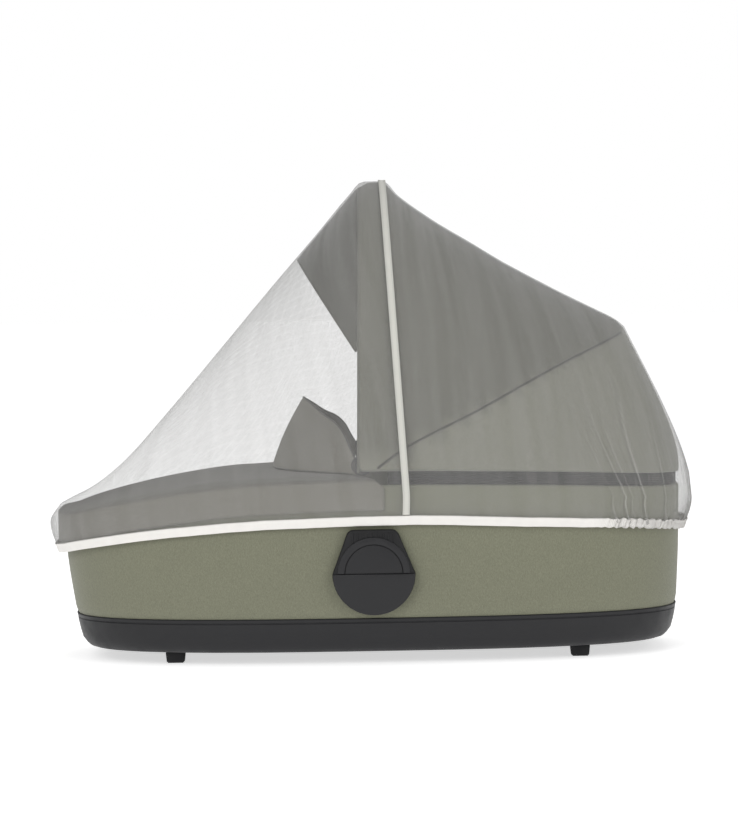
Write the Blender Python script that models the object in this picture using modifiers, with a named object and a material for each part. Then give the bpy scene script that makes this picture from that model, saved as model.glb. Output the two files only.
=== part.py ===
"""Mosquito net on a carrycot.

A fine elasticated net is drawn over a carrycot with its hood up. The net is two panels, sewn
together over the hood's front bow under a tape, with a gathered binding round the lower edge.
The carrycot under it is plain: a tub on a base with four feet, a hood, a visor, an apron.
Metres, +Z up. +X is the head end, the near side is -Y, and the feet stand on z = 0.
"""
import math

import bmesh
import bpy
import numpy as np
from mathutils import Vector

COLLECTION = "mosquito_net_on_carrycot"
TOUCH_GAP = 0.0003

# Plan of the carrycot and of the net's lower edge
LOOP_POWER = 2.9
RIM_FOOT_X = -0.4240
RIM_HEAD_X = 0.4262
RIM_HALF_WIDTH = 0.2125
HEM_FOOT_X = -0.4312
HEM_HEAD_X = 0.4312
HEM_HALF_WIDTH = 0.2182
SHOULDER_FOOT_X = -0.4430
SHOULDER_HEAD_X = 0.4438
SHOULDER_HALF_WIDTH = 0.2230
SHOULDER_RISE = 0.0370
SEAM_GAP = 0.0016

# Net cloth, its tape and its binding
NET_THICKNESS = 0.0012
NET_EDGE_BELOW = 0.0030
TAPE_WIDTH = 0.0096
TAPE_THICKNESS = 0.0010
BINDING_HEIGHT = 0.0115
BINDING_WALL = 0.0008
BINDING_SLACK = 0.00052
BINDING_TURN = 0.0011
SCRUNCH_DEPTH = 0.0013
SCRUNCH_START_X = 0.300
SCRUNCH_RISE = 0.030

# Heights along the length: x of the section, height z of the line there
HEM_LINE = (
    (-0.4312, 0.1510),
    (-0.3775, 0.1636),
    (-0.2700, 0.1790),
    (-0.1200, 0.1895),
    (0.0500, 0.1925),
    (0.2000, 0.1872),
    (0.3500, 0.1798),
    (0.4312, 0.1710),
)
RIM_LINE = (
    (-0.4240, 0.1930),
    (-0.3200, 0.2170),
    (-0.1600, 0.2370),
    (0.0000, 0.2415),
    (0.2100, 0.2376),
    (0.4262, 0.2264),
)

# Net ribs from the foot to the head: x at the hem, x and z where the rib meets the middle of the
# net, how square its arch is, and how far it swells out past a straight rib
NET_RIBS = (
    (-0.4312, -0.4300, 0.2105, 3.40, 0.0020),
    (-0.4230, -0.4180, 0.2165, 3.40, 0.0020),
    (-0.3950, -0.3900, 0.2300, 3.20, 0.0018),
    (-0.3500, -0.3450, 0.2640, 2.70, 0.0015),
    (-0.2800, -0.2760, 0.3380, 2.40, 0.0010),
    (-0.2000, -0.2000, 0.4260, 2.35, 0.0008),
    (-0.1200, -0.1250, 0.5130, 2.50, 0.0005),
    (-0.0550, -0.0650, 0.5810, 2.75, 0.0005),
    (-0.0150, -0.0260, 0.6265, 2.85, 0.0005),
    (0.0180, -0.0020, 0.6490, 2.80, 0.0005),
    (0.0463, 0.0230, 0.6490, 2.75, 0.0005),
    (0.1000, 0.0450, 0.6290, 2.70, 0.0008),
    (0.2000, 0.0930, 0.5940, 2.70, 0.0015),
    (0.2900, 0.1450, 0.5620, 2.80, 0.0030),
    (0.3360, 0.1850, 0.5370, 2.90, 0.0050),
    (0.3640, 0.2650, 0.4930, 3.00, 0.0080),
    (0.3880, 0.3180, 0.4660, 3.00, 0.0100),
    (0.4120, 0.3430, 0.4530, 3.00, 0.0115),
    (0.4312, 0.3560, 0.4420, 3.00, 0.0125),
)
TAPE_HEM_X = 0.0463
TAPE_LOW_SHARE = 0.085
TAPE_STEP = 0.002

# Gathers at the head end: side, x at the hem, share of the rib where it dies out, height and
# half width
PLEATS = (
    ("near", 0.3150, 0.36, 0.0014, 0.0070),
    ("near", 0.3340, 0.54, 0.0044, 0.0060),
    ("near", 0.3500, 0.74, 0.0046, 0.0060),
    ("near", 0.3640, 0.66, 0.0038, 0.0060),
    ("near", 0.3800, 0.84, 0.0050, 0.0060),
    ("near", 0.4020, 0.60, 0.0028, 0.0060),
    ("near", 0.4140, 0.90, 0.0050, 0.0065),
    ("near", 0.4270, 0.70, 0.0026, 0.0070),
    ("far", 0.3060, 0.34, 0.0016, 0.0070),
    ("far", 0.3290, 0.58, 0.0046, 0.0060),
    ("far", 0.3560, 0.70, 0.0038, 0.0060),
    ("far", 0.3730, 0.80, 0.0050, 0.0065),
    ("far", 0.3940, 0.56, 0.0024, 0.0060),
    ("far", 0.4090, 0.86, 0.0048, 0.0060),
    ("far", 0.4240, 0.66, 0.0028, 0.0070),
)

# Tub and base. A section is its height, x of the foot end, x of the head end and half width.
# The middle of the wall is its share of the height and how far it stands out past the border at
# the foot end, the head end and the sides.
TUB_BORDER = (0.0630, -0.4085, 0.4203, 0.2068)
TUB_WALL = 0.0080
TUB_FLOOR = 0.0700
RIM_ROUND = 0.0030
WALL_MIDDLE = (0.55, 0.0105, 0.0045, 0.0040)
TUB_COLUMNS = 56
BASE_SECTIONS = (
    (0.0160, -0.3820, 0.3930, 0.1830),
    (0.0185, -0.3920, 0.4040, 0.1920),
    (0.0290, -0.4010, 0.4130, 0.2003),
    (0.0627, -0.4085, 0.4203, 0.2068),
)
FOOT_X = (-0.2680, 0.2810)
FOOT_Y = 0.1300
FOOT_SIZE = (0.0270, 0.0240, 0.0157)
FOOT_TAPER = 0.88
FOOT_ROUND = 0.0020

# Hood: ribs from its front edge to its back, with the columns of the net ribs
STRIPE_HEIGHT = 0.0155
STRIPE_THICKNESS = 0.0020
STRIPE_FRONT_X = 0.0235
STRIPE_INSET = 0.0020
STRIPE_COLUMNS = 22
HOOD_THICKNESS = 0.0025
HOOD_RIBS = (
    (-0.0155, -0.0040, 0.6330, 2.60, 0.0005),
    (0.0180, 0.0110, 0.6410, 2.65, 0.0005),
    (0.0463, 0.0230, 0.6415, 2.65, 0.0005),
    (0.1000, 0.0440, 0.6210, 2.65, 0.0005),
    (0.2000, 0.0910, 0.5860, 2.65, 0.0010),
    (0.2900, 0.1410, 0.5540, 2.75, 0.0020),
    (0.3360, 0.1800, 0.5290, 2.80, 0.0040),
    (0.3640, 0.2590, 0.4860, 2.90, 0.0065),
    (0.3880, 0.3110, 0.4590, 2.90, 0.0085),
    (0.4120, 0.3350, 0.4460, 2.90, 0.0100),
    (0.4262, 0.3480, 0.4360, 2.90, 0.0110),
)
HOOD_COLUMNS = 20
HOOD_ROWS = 9

# Visor: where its ends meet the hood, and the tip of its front edge in the middle
VISOR_END_Z = 0.4200
VISOR_TIP = (-0.0952, 0.5375)
VISOR_NARROWING = 0.10
VISOR_THICKNESS = 0.0022
VISOR_GAP = 0.0020
VISOR_END_DEPTH = 0.0040
VISOR_ROWS = 10
VISOR_STEPS = 4

# Hinge cover at each end of the hood's front bow
HINGE_X = -0.0110
HINGE_Y = 0.2045
HINGE_Z = 0.2680
HINGE_RADIUS = 0.0140
HINGE_THICKNESS = 0.0070

# Apron over the foot end: length line x, height z of its crown in the middle
APRON_CROWN = (
    (-0.4060, 0.2060),
    (-0.3844, 0.2160),
    (-0.3226, 0.2320),
    (-0.2400, 0.2470),
    (-0.1774, 0.2530),
    (-0.1300, 0.2530),
)
APRON_THICKNESS = 0.0050
APRON_SKIRT = 0.0340
APRON_END_X = 0.0190
APRON_OVER_RIM = (
    (-0.4240, 0.0045),
    (-0.3600, 0.0060),
    (-0.2000, 0.0095),
    (0.0190, 0.0110),
)
APRON_TURN = 0.0030
APRON_OUT = 0.0032
APRON_COLUMNS = 15
APRON_SKIRT_SHARE = 0.25
APRON_SHARES = (0.0, 0.25, 0.33, 0.42, 0.55, 0.70, 0.85, 1.0)
APRON_SPREAD = 1.15

# Wind flap on the apron: share of the half width, x and z of its upper edge
FLAP_EDGE = (
    (0.0000, -0.0906, 0.3520),
    (0.1500, -0.0790, 0.3440),
    (0.3300, -0.0615, 0.3290),
    (0.5200, -0.0455, 0.3200),
    (0.7000, -0.0335, 0.3070),
    (0.8500, -0.0260, 0.2860),
)
FLAP_THICKNESS = 0.0030
FLAP_HALF_WIDTH = 0.2000
FLAP_SET_BACK = 0.0060
FLAP_LIFT = 0.0012
FLAP_BULGE = 0.0100
FLAP_COLUMNS = 8
FLAP_STEPS = 4

# Carrying lug on each side of the tub: middle of its lower half disc, and the top of its cap
LUG_MIDDLE = (0.0030, 0.1233)
LUG_RADIUS = 0.0555
LUG_ARC_STEPS = 20
LUG_TOP_X = (-0.0305, 0.0345)
LUG_TOP_Z = 0.1825
LUG_BACK = ((0.0678, 0.2079), (0.1825, 0.2119))
LUG_THICKNESS = 0.0150
LUG_ROUND = 0.0030

# Mesh fineness of the net
RIB_STEPS_LOW = 3
RIB_STEPS_HIGH = 8
STEP_PLAIN = 0.0270
STEP_GATHERED = 0.0072
GATHER_FROM_X = 0.2950
LOOP_SAMPLES = 4000

# A point inside the net and the hood, which their outer faces look away from
INSIDE = (0.05, 0.0, 0.20)
UNDER_APRON = (-0.20, 0.0, 0.10)

# Colours in linear light, roughness and metallic value of each material
MATERIALS = {
    "net_mesh": ((0.78, 0.77, 0.74), 0.85, 0.0),
    "net_white_tape": ((0.72, 0.71, 0.67), 0.80, 0.0),
    "net_white_binding": ((0.78, 0.76, 0.72), 0.80, 0.0),
    "olive_fabric": ((0.22, 0.22, 0.16), 0.90, 0.0),
    "taupe_fabric": ((0.20, 0.19, 0.16), 0.90, 0.0),
    "dark_webbing": ((0.05, 0.05, 0.055), 0.85, 0.0),
    "dark_plastic": ((0.035, 0.035, 0.037), 0.55, 0.0),
}


def clear_scene():
    for old in list(bpy.data.objects):
        bpy.data.objects.remove(old, do_unlink=True)


def make_materials():
    made = {}
    for name, (colour, roughness, metallic) in MATERIALS.items():
        material = bpy.data.materials.new(name)
        material.use_nodes = True
        shader = material.node_tree.nodes["Principled BSDF"]
        shader.inputs["Base Color"].default_value = (*colour, 1.0)
        shader.inputs["Roughness"].default_value = roughness
        shader.inputs["Metallic"].default_value = metallic
        material.diffuse_color = (*colour, 1.0)
        made[name] = material
    return made


def smooth(rows, at, column=1):
    """Value of a column at a place, on a smooth curve through the rows."""
    keys = [row[0] for row in rows]
    values = [row[column] for row in rows]
    at = min(max(at, keys[0]), keys[-1])
    i = min(max(int(np.searchsorted(keys, at)) - 1, 0), len(keys) - 2)
    slopes = [(values[j + 1] - values[j]) / (keys[j + 1] - keys[j]) for j in range(len(keys) - 1)]

    def tangent(j):
        if j == 0 or j == len(keys) - 1:
            return slopes[min(j, len(slopes) - 1)]
        before, after = slopes[j - 1], slopes[j]
        if before * after <= 0.0:
            return 0.0
        return 2.0 * before * after / (before + after)

    width = keys[i + 1] - keys[i]
    u = (at - keys[i]) / width
    return (
        values[i] * (1 + 2 * u) * (1 - u) ** 2
        + width * tangent(i) * u * (1 - u) ** 2
        + values[i + 1] * u * u * (3 - 2 * u)
        + width * tangent(i + 1) * u * u * (u - 1)
    )


def loop_xy(turn, foot_x, head_x, half_width):
    """Point of a plan loop. A turn of 0 is the foot tip, pi the head tip, between them is -Y."""
    middle = (foot_x + head_x) / 2
    half_length = (head_x - foot_x) / 2
    c, s = math.cos(turn), math.sin(turn)
    x = middle - math.copysign(abs(c) ** (2 / LOOP_POWER), c) * half_length
    y = -math.copysign(abs(s) ** (2 / LOOP_POWER), s) * half_width
    return x, y


def turns_by_length(foot_x, head_x, half_width):
    """Turns of half a loop and the length of edge from the foot tip to each."""
    turns = np.linspace(0.0, math.pi, LOOP_SAMPLES)
    points = np.array([loop_xy(turn, foot_x, head_x, half_width) for turn in turns])
    steps = np.hypot(*np.diff(points, axis=0).T)
    return turns, np.concatenate([[0.0], np.cumsum(steps)]), points[:, 0]


def turn_at_x(x, foot_x, head_x):
    """Turn where a half loop is at a given x."""
    middle = (foot_x + head_x) / 2
    half_length = (head_x - foot_x) / 2
    along = (middle - x) / half_length
    along = min(max(along, -1.0), 1.0)
    return math.acos(math.copysign(abs(along) ** (LOOP_POWER / 2), along))


def rim_height(x):
    return smooth(RIM_LINE, x)


def arch(start, ridge_x, ridge_z, square, swell, outward, share):
    """Point of a rib that climbs from a start point and turns in to the middle line."""
    angle = share * math.pi / 2
    lift = math.sin(angle) ** (2 / square)
    inside = max(math.cos(angle), 0.0) ** (2 / square)
    bow = 4.0 * swell * lift ** 0.75 * (1 - lift) ** 1.4
    x = start[0] + (ridge_x - start[0]) * lift + outward[0] * bow
    y = (start[1] + outward[1] * bow) * inside
    z = start[2] + (ridge_z - start[2]) * lift
    return Vector((x, y, z))


def rib_values(ribs, foot_x):
    """Ridge x, ridge z, squareness and swell of the rib that starts at an x."""
    return [smooth(ribs, foot_x, column) for column in range(1, 5)]


def outward_in_plan(turn):
    """Unit direction that leaves the loop at a turn, in plan."""
    half_length = HEM_HEAD_X
    x, y = loop_xy(turn, -half_length, half_length, HEM_HALF_WIDTH)
    power = LOOP_POWER - 1
    normal = Vector((
        math.copysign(abs(x / half_length) ** power, x) / half_length,
        math.copysign(abs(y / HEM_HALF_WIDTH) ** power, y) / HEM_HALF_WIDTH,
        0.0,
    ))
    return normal.normalized()


class Net:
    """The net's middle surface, from hem to ridge, on the near and the far side."""

    def __init__(self):
        self.turns, self.lengths, self.xs = turns_by_length(
            HEM_FOOT_X, HEM_HEAD_X, HEM_HALF_WIDTH
        )
        self.half_hem = float(self.lengths[-1])
        self.low_share = RIB_STEPS_LOW / (RIB_STEPS_LOW + RIB_STEPS_HIGH)

    def length_at_x(self, x):
        return float(np.interp(x, self.xs, self.lengths))

    def point(self, length, share, side, crinkle=0.0):
        """Point at a length of hem from the foot tip and a share of the rib above it."""
        turn = float(np.interp(length, self.lengths, self.turns))
        hem_x, hem_y = loop_xy(turn, HEM_FOOT_X, HEM_HEAD_X, HEM_HALF_WIDTH)
        if turn in (0.0, math.pi):
            hem_y = 0.0
        hem = Vector((hem_x, hem_y, smooth(HEM_LINE, hem_x) - NET_EDGE_BELOW))
        out_x, out_y = loop_xy(
            turn, SHOULDER_FOOT_X, SHOULDER_HEAD_X, SHOULDER_HALF_WIDTH
        )
        shoulder = Vector((out_x, out_y, hem.z + NET_EDGE_BELOW + SHOULDER_RISE))
        outward = outward_in_plan(turn)
        if share < self.low_share:
            climb = share / self.low_share
            spread = math.sin(climb * math.pi / 2)
            place = hem.lerp(shoulder, climb)
            place.x = hem.x + (shoulder.x - hem.x) * spread
            place.y = hem.y + (shoulder.y - hem.y) * spread
        else:
            climb = (share - self.low_share) / (1 - self.low_share)
            ridge_x, ridge_z, square, swell = rib_values(NET_RIBS, hem_x)
            place = arch(shoulder, ridge_x, ridge_z, square, swell, outward, climb)
        place += outward * self.fold(length, share, side, crinkle)
        if side == "far":
            place.y = -place.y
        return place

    def fold(self, length, share, side, crinkle):
        """How far the gathers lift the cloth at a place."""
        lift = 0.0
        for pleat_side, hem_x, reach, height, half_width in PLEATS:
            if pleat_side != side or share >= reach:
                continue
            across = (length - self.length_at_x(hem_x)) / half_width
            fade = math.cos(share / reach * math.pi / 2)
            lift += height * fade * math.exp(-across * across)
        start = self.length_at_x(SCRUNCH_START_X)
        if length > start:
            ramp = min((length - start) / SCRUNCH_RISE, 1.0)
            low = max(1.0 - share / (1.6 * self.low_share), 0.0)
            lift += crinkle * SCRUNCH_DEPTH * ramp * low
        return lift


def rib_shares():
    """Shares of a rib where the net has a row of points, from hem to ridge."""
    steps = RIB_STEPS_LOW + RIB_STEPS_HIGH
    return [i / steps for i in range(steps + 1)]


def hem_stations(net, start, end):
    """Lengths of hem where the net has a column, closer together in the gathers."""
    gathers = net.length_at_x(GATHER_FROM_X)
    breaks = [start, end]
    if start < gathers < end:
        breaks = [start, gathers, end]
    stations = [start]
    for low, high in zip(breaks, breaks[1:]):
        step = STEP_GATHERED if low >= gathers - 1e-9 else STEP_PLAIN
        count = max(round((high - low) / step), 1)
        stations += [low + (high - low) * (i + 1) / count for i in range(count)]
    return stations


def crinkle_of(net, length, side):
    """In and out by turns along the gathered hem, never twice alike, and still at the tips."""
    tip = min(length, net.half_hem - length)
    if tip < 1e-9:
        return 0.0
    step = round(length / STEP_GATHERED)
    phase = 0.0 if side == "near" else 1.7
    return (1 if step % 2 else -1) * (0.65 + 0.35 * math.sin(step * 2.3 + phase))


def mesh_object(name, vertices, faces, material, collection):
    mesh = bpy.data.meshes.new(name)
    mesh.from_pydata([tuple(v) for v in vertices], [], faces)
    cleaner = bmesh.new()
    cleaner.from_mesh(mesh)
    bmesh.ops.remove_doubles(cleaner, verts=cleaner.verts, dist=0.00002)
    bmesh.ops.dissolve_degenerate(cleaner, edges=cleaner.edges, dist=0.00001)
    bmesh.ops.recalc_face_normals(cleaner, faces=cleaner.faces)
    cleaner.to_mesh(mesh)
    cleaner.free()
    mesh.materials.append(material)
    mesh.shade_smooth()
    mesh.set_sharp_from_angle(angle=math.radians(40))
    piece = bpy.data.objects.new(name, mesh)
    collection.objects.link(piece)
    return piece


def grid_faces(rows, columns, closed_rows=False, closed_columns=False):
    """Four-sided faces between the points of a grid that is stored row by row."""
    faces = []
    for i in range(rows if closed_rows else rows - 1):
        for j in range(columns if closed_columns else columns - 1):
            a, b = i, (i + 1) % rows
            c, d = j, (j + 1) % columns
            faces.append((a * columns + c, a * columns + d, b * columns + d, b * columns + c))
    return faces


def add_thickness(piece, thickness):
    solidify = piece.modifiers.new("cloth_thickness", "SOLIDIFY")
    solidify.thickness = thickness
    solidify.offset = 0.0
    solidify.use_even_offset = True
    solidify.use_quality_normals = True


def outward_sheet(name, points, columns, material, collection, thickness, inside=INSIDE):
    """Open curved sheet with thickness, its faces turned away from a point inside it."""
    rows = len(points) // columns
    piece = mesh_object(name, points, grid_faces(rows, columns), material, collection)
    sheet = bmesh.new()
    sheet.from_mesh(piece.data)
    balance = sum(
        face.normal.dot(face.calc_center_median() - Vector(inside)) * face.calc_area()
        for face in sheet.faces
    )
    if balance < 0:
        bmesh.ops.reverse_faces(sheet, faces=sheet.faces)
    sheet.to_mesh(piece.data)
    sheet.free()
    add_thickness(piece, thickness)
    return piece


def net_panel(name, net, start, end, material, collection):
    """One cut of net: arches from the near hem over the middle to the far hem."""
    shares = rib_shares()
    points = []
    for length in hem_stations(net, start, end):
        for side, order in (("near", shares), ("far", shares[::-1][1:])):
            crinkle = crinkle_of(net, length, side)
            points += [net.point(length, share, side, crinkle) for share in order]
    columns = 2 * len(shares) - 1
    return outward_sheet(name, points, columns, material, collection, NET_THICKNESS)


def seam_tape(name, net, material, collection):
    """Flat tape on the outside of the net over the seam, from hem to hem."""
    middle = net.length_at_x(TAPE_HEM_X)
    shares = [TAPE_LOW_SHARE] + [share for share in rib_shares() if share > TAPE_LOW_SHARE]
    walk = [("near", share) for share in shares] + [("far", share) for share in shares[::-1][1:]]
    lift = NET_THICKNESS / 2 + TAPE_THICKNESS / 2 + 2 * TOUCH_GAP
    points = []
    for side, share in walk:
        centre = net.point(middle, share, side)
        ahead = net.point(middle + TAPE_STEP, share, side)
        behind = net.point(middle - TAPE_STEP, share, side)
        across = (ahead - behind).normalized()
        up = centre - net.point(middle, share - TAPE_STEP, side)
        if share == 1.0:
            up = Vector((0.0, 1.0, 0.0))
        normal = across.cross(up).normalized()
        if normal.dot(centre - Vector(INSIDE)) < 0:
            normal = -normal
        for place in (-0.5, 0.0, 0.5):
            points.append(centre + normal * lift + across * place * TAPE_WIDTH)
    return outward_sheet(name, points, 3, material, collection, TAPE_THICKNESS)


def hem_binding(name, net, material, collection):
    """Folded binding that takes the net's raw edge between its two walls."""
    tape = net.length_at_x(TAPE_HEM_X)
    half = sorted(set(hem_stations(net, 0.0, tape) + hem_stations(net, tape, net.half_hem)))
    walk = [("near", length) for length in half] + [("far", length) for length in half[::-1][1:-1]]
    first_step = 1 / (RIB_STEPS_LOW + RIB_STEPS_HIGH)
    edges = []
    for side, length in walk:
        crinkle = crinkle_of(net, length, side)
        edges.append((
            net.point(length, 0.0, side, crinkle),
            net.point(length, first_step, side, crinkle),
        ))
    inside = NET_THICKNESS / 2 + BINDING_SLACK
    outside = inside + BINDING_WALL
    floor = -TOUCH_GAP
    profile = (
        (outside, floor - BINDING_TURN),
        (outside, BINDING_HEIGHT - BINDING_TURN),
        (inside, BINDING_HEIGHT - BINDING_TURN),
        (inside, floor),
        (-inside, floor),
        (-inside, BINDING_HEIGHT - BINDING_TURN),
        (-outside, BINDING_HEIGHT - BINDING_TURN),
        (-outside, floor - BINDING_TURN),
    )
    points = []
    for i, (low, high) in enumerate(edges):
        before = edges[i - 1][0]
        after = edges[(i + 1) % len(edges)][0]
        along = (after - before).normalized()
        up = (high - low).normalized()
        out = along.cross(up).normalized()
        if out.dot(Vector((low.x, low.y, 0.0))) < 0:
            out = -out
        points += [low + out * side_step + up * rise for side_step, rise in profile]
    faces = grid_faces(len(edges), len(profile), closed_rows=True, closed_columns=True)
    return mesh_object(name, points, faces, material, collection)


def lofted(name, loops, material, collection):
    """Closed body through loops of equal length, closed flat at both ends."""
    columns = len(loops[0])
    points = [point for loop in loops for point in loop]
    faces = grid_faces(len(loops), columns, closed_columns=True)
    faces.append(tuple(range(columns)))
    last = (len(loops) - 1) * columns
    faces.append(tuple(range(last, last + columns)))
    return mesh_object(name, points, faces, material, collection)


def plan_section(height, foot_x, head_x, half_width, count):
    """Plan loop with its points at even lengths of edge, so that its ends stay round."""
    turns, lengths, _ = turns_by_length(foot_x, head_x, half_width)
    half = count // 2
    loop = []
    for i in range(count):
        place = i if i <= half else count - i
        turn = float(np.interp(lengths[-1] * place / half, lengths, turns))
        x, y = loop_xy(turn, foot_x, head_x, half_width)
        if place in (0, half):
            y = 0.0
        y = y if i <= half else -y
        loop.append(Vector((x, y, height(x) if callable(height) else height)))
    return loop


def tub(material, collection):
    """Open tub: outer wall, rounded rim, inner wall and floor."""
    border_z, foot_x, head_x, half_width = TUB_BORDER
    share, foot_out, head_out, side_out = WALL_MIDDLE

    def wall_middle(x):
        return border_z + share * (rim_height(x) - border_z)

    def under_rim(x):
        return rim_height(x) - RIM_ROUND

    def rim_loop(height, inset):
        return plan_section(
            height, RIM_FOOT_X + inset, RIM_HEAD_X - inset, RIM_HALF_WIDTH - inset, TUB_COLUMNS
        )

    loops = [
        plan_section(border_z, foot_x, head_x, half_width, TUB_COLUMNS),
        plan_section(
            wall_middle, foot_x - foot_out, head_x + head_out, half_width + side_out, TUB_COLUMNS
        ),
        rim_loop(under_rim, 0.0),
        rim_loop(rim_height, RIM_ROUND),
        rim_loop(rim_height, TUB_WALL),
        plan_section(
            TUB_FLOOR, foot_x + TUB_WALL, head_x - TUB_WALL, half_width - TUB_WALL, TUB_COLUMNS
        ),
    ]
    return lofted("carrycot_tub", loops, material, collection)


def base(material, collection):
    loops = [
        plan_section(height, foot_x, head_x, half_width, TUB_COLUMNS)
        for height, foot_x, head_x, half_width in BASE_SECTIONS
    ]
    return lofted("carrycot_base", loops, material, collection)


def feet(material, collection):
    """Four tapered feet under the base, wider at the top."""
    for number, (x, y) in enumerate((x, y) for x in FOOT_X for y in (-FOOT_Y, FOOT_Y)):
        bpy.ops.mesh.primitive_cube_add(size=1.0)
        foot = bpy.context.active_object
        foot.name = f"carrycot_foot_{number + 1}"
        for vertex in foot.data.vertices:
            narrow = FOOT_TAPER if vertex.co.z < 0 else 1.0
            vertex.co.x *= FOOT_SIZE[0] * narrow
            vertex.co.y *= FOOT_SIZE[1] * narrow
            vertex.co.z *= FOOT_SIZE[2]
        foot.location = (x, y, FOOT_SIZE[2] / 2)
        bevel = foot.modifiers.new("rounded_edges", "BEVEL")
        bevel.width = FOOT_ROUND
        bevel.segments = 1
        foot.data.materials.append(material)
        move_to(foot, collection)


def move_to(piece, collection):
    for owner in list(piece.users_collection):
        owner.objects.unlink(piece)
    collection.objects.link(piece)


def lug_outline():
    """Outline of a lug in x and z: half a disc below, a cap that narrows upward above it."""
    x, z = LUG_MIDDLE
    turns = [math.pi + math.pi * i / LUG_ARC_STEPS for i in range(LUG_ARC_STEPS + 1)]
    arc = [(x + LUG_RADIUS * math.cos(turn), z + LUG_RADIUS * math.sin(turn)) for turn in turns]
    return arc + [(LUG_TOP_X[1], LUG_TOP_Z), (LUG_TOP_X[0], LUG_TOP_Z)]


def lugs(material, collection):
    """Thick lug laid on each side of the tub, under the hem."""
    (low_z, low_y), (high_z, high_y) = LUG_BACK
    for name, side in (("near", -1), ("far", 1)):
        shape = bmesh.new()
        layers = []
        for depth in (TOUCH_GAP, TOUCH_GAP + LUG_THICKNESS):
            layer = []
            for x, z in lug_outline():
                lean = low_y + (high_y - low_y) * (z - low_z) / (high_z - low_z)
                layer.append(shape.verts.new((x, side * (lean + depth), z)))
            layers.append(layer)
            shape.faces.new(layer)
        back, front = layers
        for i, vertex in enumerate(back):
            j = (i + 1) % len(back)
            shape.faces.new((vertex, back[j], front[j], front[i]))
        bmesh.ops.recalc_face_normals(shape, faces=shape.faces)
        mesh = bpy.data.meshes.new(f"carry_lug_{name}")
        shape.to_mesh(mesh)
        shape.free()
        lug = bpy.data.objects.new(f"carry_lug_{name}", mesh)
        collection.objects.link(lug)
        bevel = lug.modifiers.new("rounded_edges", "BEVEL")
        bevel.width = LUG_ROUND
        bevel.segments = 2
        lug.data.materials.append(material)


def hood_point(place, share, side=-1):
    """Point of the hood's surface: place is x on the rim, share climbs to the middle."""
    turn = turn_at_x(place, RIM_FOOT_X, RIM_HEAD_X)
    x, y = loop_xy(turn, RIM_FOOT_X, RIM_HEAD_X, RIM_HALF_WIDTH - HOOD_THICKNESS / 2)
    if place >= RIM_HEAD_X:
        x, y = RIM_HEAD_X - HOOD_THICKNESS / 2, 0.0
    start = Vector((x, y, rim_height(x) + STRIPE_HEIGHT + 4 * TOUCH_GAP))
    ridge_x, ridge_z, square, swell = rib_values(HOOD_RIBS, place)
    point = arch(start, ridge_x, ridge_z, square, swell, outward_in_plan(turn), share)
    point.y *= -side
    return point


def hood_places():
    """Places along the rim for the hood's ribs, closer together round the head end."""
    _, lengths, xs = turns_by_length(RIM_FOOT_X, RIM_HEAD_X, RIM_HALF_WIDTH)
    start = float(np.interp(HOOD_RIBS[0][0], xs, lengths))
    marks = np.linspace(start, lengths[-1], HOOD_COLUMNS)
    places = [float(np.interp(mark, lengths, xs)) for mark in marks]
    places[-1] = RIM_HEAD_X
    return places


def hood(material, collection):
    shares = [i / HOOD_ROWS for i in range(HOOD_ROWS + 1)]
    points = []
    for place in hood_places():
        points += [hood_point(place, share, -1) for share in shares]
        points += [hood_point(place, share, 1) for share in shares[::-1][1:]]
    return outward_sheet(
        "hood_canopy", points, 2 * len(shares) - 1, material, collection, HOOD_THICKNESS
    )


def hood_stripe(material, collection):
    """Dark band that carries the hood round the rim of the head half."""
    turns, lengths, xs = turns_by_length(RIM_FOOT_X, RIM_HEAD_X, RIM_HALF_WIDTH)
    start = float(np.interp(STRIPE_FRONT_X, xs, lengths))
    marks = np.linspace(start, lengths[-1], STRIPE_COLUMNS)
    half = [float(np.interp(mark, lengths, turns)) for mark in marks]
    walk = [(turn, 1) for turn in half] + [(turn, -1) for turn in half[::-1][1:]]
    points = []
    for turn, mirror in walk:
        x, y = loop_xy(
            turn, RIM_FOOT_X + STRIPE_INSET, RIM_HEAD_X - STRIPE_INSET,
            RIM_HALF_WIDTH - STRIPE_INSET,
        )
        if turn == turns[-1]:
            y = 0.0
        low = rim_height(x) + 2 * TOUCH_GAP
        high = low + STRIPE_HEIGHT - TOUCH_GAP
        points += [Vector((x, y * mirror, low)), Vector((x, y * mirror, high))]
    return outward_sheet(
        "hood_rim_band", points, 2, material, collection, STRIPE_THICKNESS
    )


def visor(material, collection):
    """Peak of the hood: it grows from nothing at each side to full length in the middle."""
    front = HOOD_RIBS[0][0]
    trials = np.linspace(0, 1, 400)
    start_share = next(share for share in trials if hood_point(front, share).z >= VISOR_END_Z)
    shares = [float(share) for share in np.linspace(start_share, 1.0, VISOR_ROWS + 1)]
    walk = [(share, -1) for share in shares] + [(share, 1) for share in shares[::-1][1:]]
    crown = hood_point(front, 1.0)
    points = []
    for share, side in walk:
        root = hood_point(front, share, side)
        grown = (root.z - VISOR_END_Z) / (crown.z - VISOR_END_Z)
        tip = Vector((
            root.x + (VISOR_TIP[0] - crown.x) * grown,
            root.y * (1 - VISOR_NARROWING * grown),
            VISOR_END_Z + (VISOR_TIP[1] - VISOR_END_Z) * grown,
        ))
        root.x -= VISOR_GAP
        tip.x -= VISOR_GAP + VISOR_END_DEPTH * (1 - grown)
        points += [root.lerp(tip, step / VISOR_STEPS) for step in range(VISOR_STEPS + 1)]
    return outward_sheet(
        "hood_visor", points, VISOR_STEPS + 1, material, collection, VISOR_THICKNESS
    )


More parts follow.
